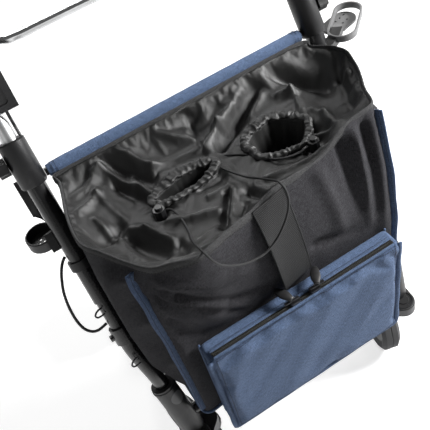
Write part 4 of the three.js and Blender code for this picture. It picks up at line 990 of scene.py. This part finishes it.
def drape(flat, faces, loops):
    """First shape: level near the openings, up to the hem all round, with the large folds laid in."""
    n = len(flat)
    heights = np.full(n, LINER_MIDDLE)
    to_rim = spans(flat, rim)
    edge = to_rim.min(axis=1)
    fixed = edge < 0.05
    heights[fixed] = rim[to_rim.argmin(axis=1)[fixed], 2]
    for label, ring in zip(MOUTHS, loops):
        at = spans(flat, ring).min(axis=1) < 0.05
        turn = angle_round(label, flat[at])
        heights[at] = OPENING_LEVEL + sway(turn) + 2.2 * np.sin(turn * 9 + 0.5) + 1.2 * np.sin(turn * 17)
        fixed |= at
    for lock in LOCKS:
        seat = np.hypot(*(flat - lock).T) < 10
        heights[seat] = LOCK_SEAT
        fixed |= seat
    corners = np.array(faces)
    first, second = corners[:, [0, 0, 1, 1, 2, 2]].ravel(), corners[:, [1, 2, 0, 2, 0, 1]].ravel()
    counts = np.maximum(np.bincount(first, minlength=n), 1)
    for _ in range(260):
        mean = np.bincount(first, weights=heights[second], minlength=n) / counts
        heights = np.where(fixed, heights, mean)
    heights -= 7 * np.sin(math.pi * np.clip(edge / 70, 0, 1)) * ~fixed
    loose = np.clip(edge / 16, 0, 1) * ~fixed
    for start, end, width, rise in LINER_FOLDS:
        a, b = ((seen_at(*p, 580) - BAR) / MM for p in (start, end))
        distance, along = segment_distance(*flat.T, a[:2], b[:2])
        wide = width * (0.75 + 0.5 * along)
        ridge = np.exp(-(np.sqrt(distance ** 2 + 2.0) - 1.4) / (wide * 0.75))
        heights += 1.15 * rise * (ridge if rise > 0 else bump_profile(distance, wide)) * loose
    heights += 1.6 * np.array([noise.noise((*p * 0.045, 2.0)) for p in flat]) * loose
    return heights, fixed


flat, liner_faces, opening_rings = gathered_liner()
liner_heights, liner_fixed = drape(flat, liner_faces, opening_rings)
liner = make_piece("liner_sheet", placed(np.column_stack([flat, liner_heights])), liner_faces, black_lining,
                   [flat[v] * MM for f in liner_faces for v in f])
simulated(liner, liner_fixed, 16, 0.008, 0.15, mass=0.15, tension_stiffness=12, compression_stiffness=12,
          shear_stiffness=5, bending_stiffness=9.0, shrink_min=-0.028)
rides(finished(liner, ROUNDER, wall(0.0006, 0.0)), "liner_black", "bag_liner")


def gathered_channel(label, count, seed):
    """The drawcord's channel round an opening: a crinkled soft tube, widest at the back."""
    path = np.column_stack([mouth_loop(label, count, 0.5), np.full(count, CHANNEL_LEVEL)])
    turn = angle_round(label, path)
    path[:, 2] += sway(turn)
    out = outward(directions(path, True))
    rows = []
    for k, a in enumerate(turn):
        wide = 12.5 + 4 * max(0, math.sin(a)) - 3.5 * max(0, -math.sin(a))
        pleat = math.sin(k * FULL_TURN / 4.7 + 2.5 * noise.noise((k * 0.11, seed, 0)))
        tall = 4.4 + 0.9 * pleat + 2.0 * noise.noise((k * 0.36, seed, 8))
        rows.append([])
        for j, (c, s) in enumerate(round_section(1.0, 16)):
            crinkle = 1 + 0.1 * pleat * (0.5 + 0.5 * c) + 0.45 * noise.noise((k * 0.24, j * 0.4, seed + 4))
            rows[-1].append(path[k] + out[k] * (c * wide * 0.5 * crinkle + wide * 0.42) + UP * s * tall * crinkle)
    channel = grid_piece(f"cord_channel_{label}", placed(rows), black_lining, ring=True, loop=True)
    rides(finished(channel, ROUNDER), "liner_black")


def throat(label, depth, seed):
    """The cloth that hangs down inside an opening."""
    rows, middle = [], np.array(MOUTHS[label][:2])
    for share in np.arange(13, -1, -1) / 13:
        ring = mouth_loop(label, 96, 0.8 - 5 * share)
        turn = angle_round(label, ring)
        pleats = np.sin(turn * 8 + seed) * 0.6 + np.sin(turn * 13 + 2 * seed) * 0.4
        shrink = 1 + (0.02 + 0.1 * share) * pleats - 0.25 * share
        height = THROAT_TOP - depth * share + sway(turn) * (1 - share)
        rows.append(np.column_stack([middle + (ring - middle) * shrink[:, None], height]))
    tube = grid_piece(f"throat_{label}", placed(rows), black_lining, ring=True)
    rides(finished(tube, ROUNDER, wall(0.0006, 0.0)), "liner_black")


for label, count, depth, seed in (("left", 132, 46, 1.7), ("right", 156, 62, 4.2)):
    gathered_channel(label, count, seed)
    throat(label, depth, seed)


# Padded blue cover on the bar: a sewn sleeve, pulled in at its bound ends
COVER_HALF, COVER_RADIUS, SEAM_ANGLE = 205.0, 9.3, 4.9
cover_rows = []
for share in np.linspace(-1, 1, 150):
    end = 1 - 0.16 * bump_profile(1 - abs(share), 0.03)
    pull = 0.5 * bump_profile(abs(share) - 0.94, 0.006)
    cover_rows.append([])
    for a in angles(30):
        dimple = 0.35 * noise.noise((share * 16, math.cos(a) * 1.1, math.sin(a) * 1.1))
        dimple += 0.16 * noise.noise((share * 60, a, 3))
        r = COVER_RADIUS * end + 0.55 + dimple - pull - 0.55 * bump_profile((a - SEAM_ANGLE) % FULL_TURN, 0.14)
        cover_rows[-1].append((share * COVER_HALF, r * math.cos(a), BAR_HEIGHT + r * math.sin(a)))
cover = grid_piece("bar_padded_cover", placed(cover_rows), blue_cloth, ring=True)
rides(finished(cover, ROUNDER, wall(0.0009, -1.0)), "fabric_blue", "bar_cover")
end_rings = [[(x, a, BAR_HEIGHT + b) for a, b in round_section(COVER_RADIUS + 0.75, 28)]
             for x in (side * (COVER_HALF * 0.965 - inset) for side in (-1, 1) for inset in (0.0, 5.0))]
under_seam = [(x, -3.2, BAR_HEIGHT - COVER_RADIUS - 0.55) for x in np.linspace(-190, 190, 90)]
stitched("cover_stitches", [(placed(ring), True) for ring in end_rings] + [(placed(under_seam), False)], blue_thread,
         "fabric_blue", pitch=0.0036, length=0.0026)

# Front pocket, built in its own upright frame and leant against the bag
POCKET_WIDTH, POCKET_DEPTH, POCKET_TALL = 315.0, 37.0, 225.0
POCKET_TOP, POCKET_TILT = (5, -226.8, 424), math.atan(-FRONT_SLOPE)
POCKET_FRONT = Vector((0, -math.cos(POCKET_TILT), -math.sin(POCKET_TILT)))
POCKET_UP = Vector((0, -math.sin(POCKET_TILT), math.cos(POCKET_TILT)))


def pocket_place(points):
    """Points given across, outwards and up from the middle of the pocket's top back edge."""
    x, y, z = np.atleast_2d(np.asarray(points, float)).T
    c, s = math.cos(POCKET_TILT), math.sin(POCKET_TILT)
    return placed(np.column_stack([x, y * c - z * s, y * s + z * c]) + POCKET_TOP)


def box_cloth_uv(piece):
    """Lays the weave on each face by the way it looks, so that threads keep their size."""
    mesh = piece.data
    layer = mesh.uv_layers.get("cloth") or mesh.uv_layers.new(name="cloth")
    for polygon in mesh.polygons:
        axis = int(np.abs(polygon.normal).argmax())
        for k in polygon.loop_indices:
            co = mesh.vertices[mesh.loops[k].vertex_index].co
            layer.data[k].uv = [co[i] for i in range(3) if i != axis]


def rounded_box(half, corner, steps):
    """Points and faces of a box with rounded edges: a cube grid pushed onto a rounded shape."""
    points, faces, index = [], [], {}
    for axis in range(3):
        a, b = [i for i in range(3) if i != axis]
        for sign in (-1, 1):
            for i in range(steps[a]):
                for j in range(steps[b]):
                    quad = []
                    for di, dj in ((0, 0), (1, 0), (1, 1), (0, 1)):
                        p = [sign] * 3
                        p[a], p[b] = -1 + 2 * (i + di) / steps[a], -1 + 2 * (j + dj) / steps[b]
                        key = tuple(round(c, 5) for c in p)
                        if key not in index:
                            index[key] = len(points)
                            points.append(p)
                        quad.append(index[key])
                    faces.append(tuple(quad if (sign > 0) != (axis == 1) else quad[::-1]))
    half, points = np.array(half), np.array(points) * half
    core = np.clip(points, corner - half, half - corner)
    away = points - core
    size = np.linalg.norm(away, axis=1)
    return core + away / np.maximum(size, 1e-9)[:, None] * np.minimum(size, corner)[:, None], faces


POCKET_FOLDS = [
    ((150, -20), (60, -190), 16, 1.8), ((105, -15), (-10, -180), 14, -1.5), ((40, -20), (-60, -200), 16, 1.3),
    ((-30, -30), (-120, -150), 14, -1.4), ((-110, -20), (-150, -120), 12, 1.4), ((120, -120), (20, -215), 14, -1.2),
    ((-150, -30), (-152, -200), 7, -1.2), ((150, -30), (151, -200), 7, -1.4), ((-140, -212), (140, -212), 8, -1.0),
]
half = (POCKET_WIDTH / 2 - 1.5, POCKET_DEPTH / 2 - 1.5, POCKET_TALL / 2 - 1.5)
box_points, pocket_faces = rounded_box(half, 6.0, (66, 8, 46))
x, y, z = (box_points + (0, -POCKET_DEPTH / 2, -POCKET_TALL / 2)).T
for start, end, width, rise in POCKET_FOLDS:
    y -= rise * bump_profile(segment_distance(x, z, start, end)[0], width) * (y < -POCKET_DEPTH * 0.6)
pocket_held = (z > -3) | (y > -4)
pocket = make_piece("front_pocket_cloth", pocket_place(np.column_stack([x, y, z])), pocket_faces, blue_cloth)
simulated(pocket, pocket_held, 18, 0.006, 0.0, use_pressure=True, uniform_pressure_force=2.2, bending_stiffness=0.4,
          shrink_min=-0.02)
finished(pocket, ROUNDER)
box_cloth_uv(pocket)
rides(pocket, "fabric_blue", "front_pocket")
pocket_skin = BVHTree.FromPolygons([tuple(v.co) for v in pocket.data.vertices],
                                   [tuple(p.vertices) for p in pocket.data.polygons])


def on_pocket(points):
    """Drops points on the pocket's cloth from in front, just proud of it, and evens their steps."""
    landed = []
    for p in pocket_place(points):
        hit = pocket_skin.ray_cast(Vector(p) + POCKET_FRONT * 0.03, -POCKET_FRONT, 0.08)[0]
        landed.append((hit + POCKET_FRONT * 0.0004 if hit is not None else Vector(p))[:])
    return smooth_path(landed, 0.003)


# Sewn edge that stands out round the front face, down both sides and along the foot
w, h, bend = POCKET_WIDTH / 2 - 1.0, POCKET_TALL - 1.0, 8
left_edge = [(-w, z) for z in np.linspace(-3, 9 - h, 60)]
left_edge += [(bend * (1 - math.cos(a)) - w, 9 - h - bend * math.sin(a)) for a in np.linspace(0, math.pi / 2, 8)[1:-1]]
foot_edge = [(x, 1 - h) for x in np.linspace(bend - w, w - bend, 90)]
edge_line = [(x, 2.5 - POCKET_DEPTH, z) for x, z in left_edge + foot_edge + [(-x, z) for x, z in left_edge[::-1]]]
edge_path = smooth_path(pocket_place(edge_line), 0.0035)
front = np.array(POCKET_FRONT)
edge_out = unit(np.cross(directions(edge_path), front))
centre = pocket_place([(0, -POCKET_DEPTH, -POCKET_TALL / 2)])[0]
edge_out *= np.sign(np.sum((edge_path - centre) * edge_out))
edge_out = unit(edge_out + [front * (0.12 + 0.2 * noise.noise((k * 0.05, 2.0, 7.0))) for k in range(len(edge_path))])


def edge_section(k):
    reach, thick = (3.6 + 0.5 * math.sin(k * 0.37)) * MM, 1.5 * MM
    return folded([(-4 * MM, -thick), (reach * 0.7, -thick), (reach, -thick * 0.4)])


rides(run_along("pocket_sewn_edge", edge_path, edge_section, blue_cloth, sides=edge_out), "fabric_blue")
back_edge = edge_path - front * 0.031 - edge_out * 0.001
rides(run_along("pocket_back_piping", back_edge, round_section(0.0019, 8), blue_cloth), "fabric_blue")
inner_edge = [(x * (1 - 9 / abs(x)) if abs(x) > 100 else x, y, z if z > 12 - POCKET_TALL else 10 - POCKET_TALL)
              for x, y, z in edge_line]
under_zip = [(x, -POCKET_DEPTH, -6) for x in np.linspace(-146, 146, 100)]
stitched("pocket_stitches", [(on_pocket(line), False) for line in (inner_edge, under_zip)], blue_thread, "fabric_blue")


# Zip: tape, two rows of teeth, and a welt with its stitches on each side
def tooth(tree, given):
    size = signal(tree, "ShaderNodeCombineXYZ", X=given["Pitch"] * 0.62, Y=given["Width"], Z=given["Height"])
    return signal(tree, "GeometryNodeMeshCube", Size=size, Vertices_X=2, Vertices_Y=3, Vertices_Z=2)


def to_either_side(tree, given):
    odd = signal(tree, "GeometryNodeInputIndex").math("MODULO", 2.0)
    return signal(tree, "ShaderNodeVectorMath", {"operation": "SCALE"}, in0=given["Offset"], Scale=odd * 2.0 - 1.0)


TEETH = row_tree("zip_teeth", {"Pitch": 0.0013, "Width": 0.0032, "Height": 0.0014, "Offset": (0.0, 0.0, 0.0)}, tooth,
                 "X", 0.94, 1.05, to_either_side)
ZIP_BACK = -28.0
zip_line = pocket_place([(x, ZIP_BACK, 0.9) for x in np.linspace(-148, 148, 120)])
tape_section = [(a * MM, b * MM) for a, b in ((-5, 0.9), (5, 0.9), (5, 0.2), (2.4, -0.25), (-2.4, -0.25), (-5, 0.2))]
tape = run_along("zip_tape_strip", zip_line, tape_section, zip_tape, sides=np.tile(front, (len(zip_line), 1)))
rides(tape, "plastic_black", "pocket_zip")
teeth = grown("zip_teeth_row", [(zip_line + np.array(POCKET_UP) * 0.0009, False)], TEETH, Pitch=0.0013, Width=0.0034,
              Height=0.0015, Offset=(POCKET_FRONT * 0.0009)[:], Seed=3, Finish=zip_tooth)
rides(teeth, "plastic_black")
welt_rows = []
for side, label in ((-1, "front"), (1, "back")):
    lip = [(x, ZIP_BACK + side * 5.6, 0.7 + 0.5 * math.sin(x * 0.05 + side)) for x in np.linspace(-150, 150, 110)]
    fold = run_along(f"zip_welt_{label}", pocket_place(lip), round_section(0.0022, 10, 0.7), blue_cloth)
    rides(fold, "fabric_blue")
    welt_rows.append((pocket_place([(x, ZIP_BACK + side * 9.2, 1.1) for x in np.linspace(-146, 146, 100)]), False))
stitched("zip_stitches", welt_rows, blue_thread, "fabric_blue", pitch=0.003, length=0.0022, thickness=0.0003)


# Webbing: ribbed, thicker at its woven edges, tucked under the hem and behind the pocket
STRAP_AT = np.array([12, -226, 424])


def webbing_rows():
    """Rows across the strap, which hangs slightly turned about a point on the bag's front."""
    rises = [share * (BAG_TOP - BAG_LOW) for share in (0.97, 0.9, 0.76, 0.62)]
    front_points = [control_ring(BAG_LOW + rise)[FRONT_MIDDLE] for rise in (380, *rises, 210)]
    line = smooth_path([(0.0, at[1] - 5.3 - STRAP_AT[1], at[2] - STRAP_AT[2]) for at in front_points], 2.0)
    spin, slant = math.radians(8), math.radians(-6)
    across = np.linspace(-1, 1, 25)
    rows = []
    for k, (_, y, z) in enumerate(line):
        share = k / (len(line) - 1)
        lift = 1.4 * across**2 * math.sin(share * math.pi) + 0.5 * np.sin(share * 9 + across)
        lift += 1.6 * (across < 0) * across**2 * math.sin(share * math.pi * 0.9)
        x, y = across * 24, y - lift
        x, y = x * math.cos(spin) - y * math.sin(spin), x * math.sin(spin) + y * math.cos(spin)
        rows.append(np.column_stack([x * math.cos(slant) + z * math.sin(slant), y,
                                     z * math.cos(slant) - x * math.sin(slant)]) + STRAP_AT)
    return placed(rows)


strap_rows = webbing_rows()
strap = grid_piece("webbing_band", strap_rows[::-1], webbing_weave)
rides(finished(strap, wall(0.0018, 0.0), ROUNDER), "cord_black", "webbing_strap")
selvedges = [run_along(f"selvedge_{k}", strap_rows[:, k], round_section(0.0013, 8), webbing_weave) for k in (0, -1)]
rides(joined("webbing_selvedges", selvedges), "cord_black")

# Small hardware: a screw is turned from (radius, height) steps
SCREW = [(0.01, -1.0), (5.6, -1.0), (5.8, 0.6), (5.2, 1.9), (3.8, 2.8), (2.7, 3.1), (2.5, 1.2), (0.01, 1.2)]


def screw_heads(name, spots, ways, size, body, material):
    """Domed socket screws at points, each facing out to a side."""
    heads = []
    for k, (at, way) in enumerate(zip(spots, ways)):
        rows = [[at + Vector((way * h, -way * r * math.cos(a), -r * math.sin(a))) * (size * MM) for a in angles(16)]
                for r, h in SCREW]
        heads.append(grid_piece(f"{name}_{k}", rows, material, ring=True, ends=2))
    rides(joined(name, heads), "steel", body=body)


for side, label in SIDES:
    low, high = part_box(f"castor_tyre_{label}")
    axle = (low + high) / 2
    fork = [v.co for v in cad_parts[f"castor_fork_{label}"].data.vertices]
    legs = [v.x for v in fork if math.hypot(v.y - axle.y, v.z - axle.z) < 0.014]
    screw_heads(f"castor_axle_screws_{label}", [Vector((x, axle.y, axle.z)) for x in (min(legs), max(legs))], (-1, 1),
                1.0, f"castor_fork_{label}", dark_metal)
    low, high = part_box(f"handle_housing_{label}")
    y, outer = (low.y + high.y) / 2, low.x if side < 0 else high.x
    screw_heads(f"housing_screws_{label}", [Vector((outer, y - 0.012, low.z + 0.016)),
                                            Vector((outer, y + 0.004, high.z - 0.018))], (side, side), 0.62, "handle",
                black_moulding)

# Pull tabs: a wire eye on each zip slider and a moulded tab that lies back on the pocket
ARCH = [(-4, -1), (-4, 1.2), (-2.5, 2.6), (0, 3.1), (2.5, 2.6), (4, 1.2), (4, -1)]
TAB_SECTION = [(-1, -0.5), (-0.8, -1), (0.8, -1), (1, -0.5), (1, 0.5), (0.8, 1), (-0.8, 1), (-1, 0.5)]
for label, lean in (("left", -0.35), ("right", 0.5)):
    low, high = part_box(f"zip_slider_{label}")
    eye_at = Vector(((low.x + high.x) / 2, (low.y + high.y) / 2, high.z))
    arch = [eye_at + Vector((x, 0, z)) * MM for x, z in ARCH]
    pull_eye = run_along(f"pull_eye_{label}", smooth_path(arch, 0.0006), round_section(0.0009, 8), dark_metal)
    across = Vector((math.cos(lean), -math.sin(lean), 0))
    tab_rows = []
    for share in (k / 18 for k in range(19)):
        run = 30 * share
        wide = (3.2 + 3.0 * math.sin(math.pi * min(1, share * 1.15)) + 2.0 * share) * (1 if share < 0.94 else 0.72)
        thick = 1.8 + 0.35 * (0.45 < share < 0.93) * math.sin(share * 60)
        rise = 2.2 + 1.6 * math.sin(math.pi * share) - 0.9 * share
        spot = eye_at + Vector((math.sin(lean) * run, math.cos(lean) * run - 1.5, rise)) * MM
        tab_rows.append([spot + (across * (wide * a) + Vector(UP) * (thick * b)) * MM for a, b in TAB_SECTION])
    tab = grid_piece(f"pull_tab_{label}", tab_rows, black_moulding, ring=True, ends=2)
    for piece in (pull_eye, tab):
        rides(piece, "plastic_black", body=f"zip_slider_{label}")

# Spring wire clips on the outer side of the lower tubes, where the spare cable is parked
HOOP = [(-4, 0, 4), (1.5, -1, 4.5), (7, -3, 3), (9.5, -4.5, -0.5), (7, -5.5, -4), (1.5, -5, -5), (-4, -4, -5)]
for side, label in SIDES:
    hoops = []
    for x, y, z in ((239.5, -97, 433), (230.5, -143, 351)):
        bent = smooth_path(placed([(side * (x + a), y + b, z + c) for a, b, c in HOOP]), 0.001)
        hoops.append(run_along(f"wire_clip_{len(hoops)}", bent, round_section(0.0014, 8), dark_metal))
    rides(joined(f"wire_clips_{label}", hoops), "steel")


# Floor and light
def seen_by(tree, *rays):
    """1 for the rays of these kinds."""
    path = outputs(tree, tree.nodes.new("ShaderNodeLightPath"))
    seen = path[f"Is {rays[0]} Ray"]
    for ray in rays[1:]:
        seen = seen.math("MAXIMUM", path[f"Is {ray} Ray"])
    return seen


def pale_floor():
    """Pale grey under the light, and white where the camera, metal or glass looks at it."""
    material, tree, shader, _ = new_material("pale_floor")
    put(shader, Base_Color=(0.8, 0.8, 0.8, 1), Roughness=0.9)
    nothing, glow = (signal(tree, "ShaderNodeEmission", Color=(c, c, c, 1), Strength=c * 0.6) for c in (0, 1))
    direct = seen_by(tree, "Camera", "Glossy", "Transmission")
    only = signal(tree, "ShaderNodeMixShader", Fac=direct, in1=nothing, in2=glow)
    both = signal(tree, "ShaderNodeAddShader", in0=Signal(tree, shader.outputs[0]), in1=only)
    put(tree.nodes["Material Output"], Surface=both)
    return material


FLOOR_REACH, FLOOR_Z = 12, -0.0005
floor_corners = [(x * FLOOR_REACH, y * FLOOR_REACH, FLOOR_Z) for x, y in ((-1, -1), (1, -1), (1, 1), (-1, 1))]
make_piece("floor", floor_corners, [(0, 1, 2, 3)], pale_floor())

world = bpy.data.worlds.new("studio")
bpy.context.scene.world = world
world.use_nodes = True
sky = world.node_tree
put(sky.nodes["Background"], Color=(1, 1, 1, 1), Strength=0.12)
white = signal(sky, "ShaderNodeBackground", Color=(1, 1, 1, 1), Strength=1.0)
put(sky.nodes["World Output"], Surface=signal(sky, "ShaderNodeMixShader", Fac=seen_by(sky, "Camera", "Transmission"),
                                              in1=Signal(sky, sky.nodes["Background"].outputs[0]), in2=white))

BAG_MIDDLE = Vector((0, -0.1, 0.45))
for name, at, size, power in (("key_lamp", (1.45, -0.6, 1.25), 0.5, 58), ("fill_lamp", (-1.8, -1.2, 1.3), 1.2, 2.5),
                              ("back_lamp", (0.1, 1.5, 2.3), 0.9, 30)):
    data = bpy.data.lights.new(name, "AREA")
    data.shape, data.size, data.energy = "SQUARE", size, power
    lamp = linked(name, data)
    lamp.location = at
    lamp.rotation_mode = "QUATERNION"
    lamp.rotation_quaternion = (BAG_MIDDLE - Vector(at)).to_track_quat("-Z", "Y")

bpy.context.scene.view_settings.view_transform = "Standard"
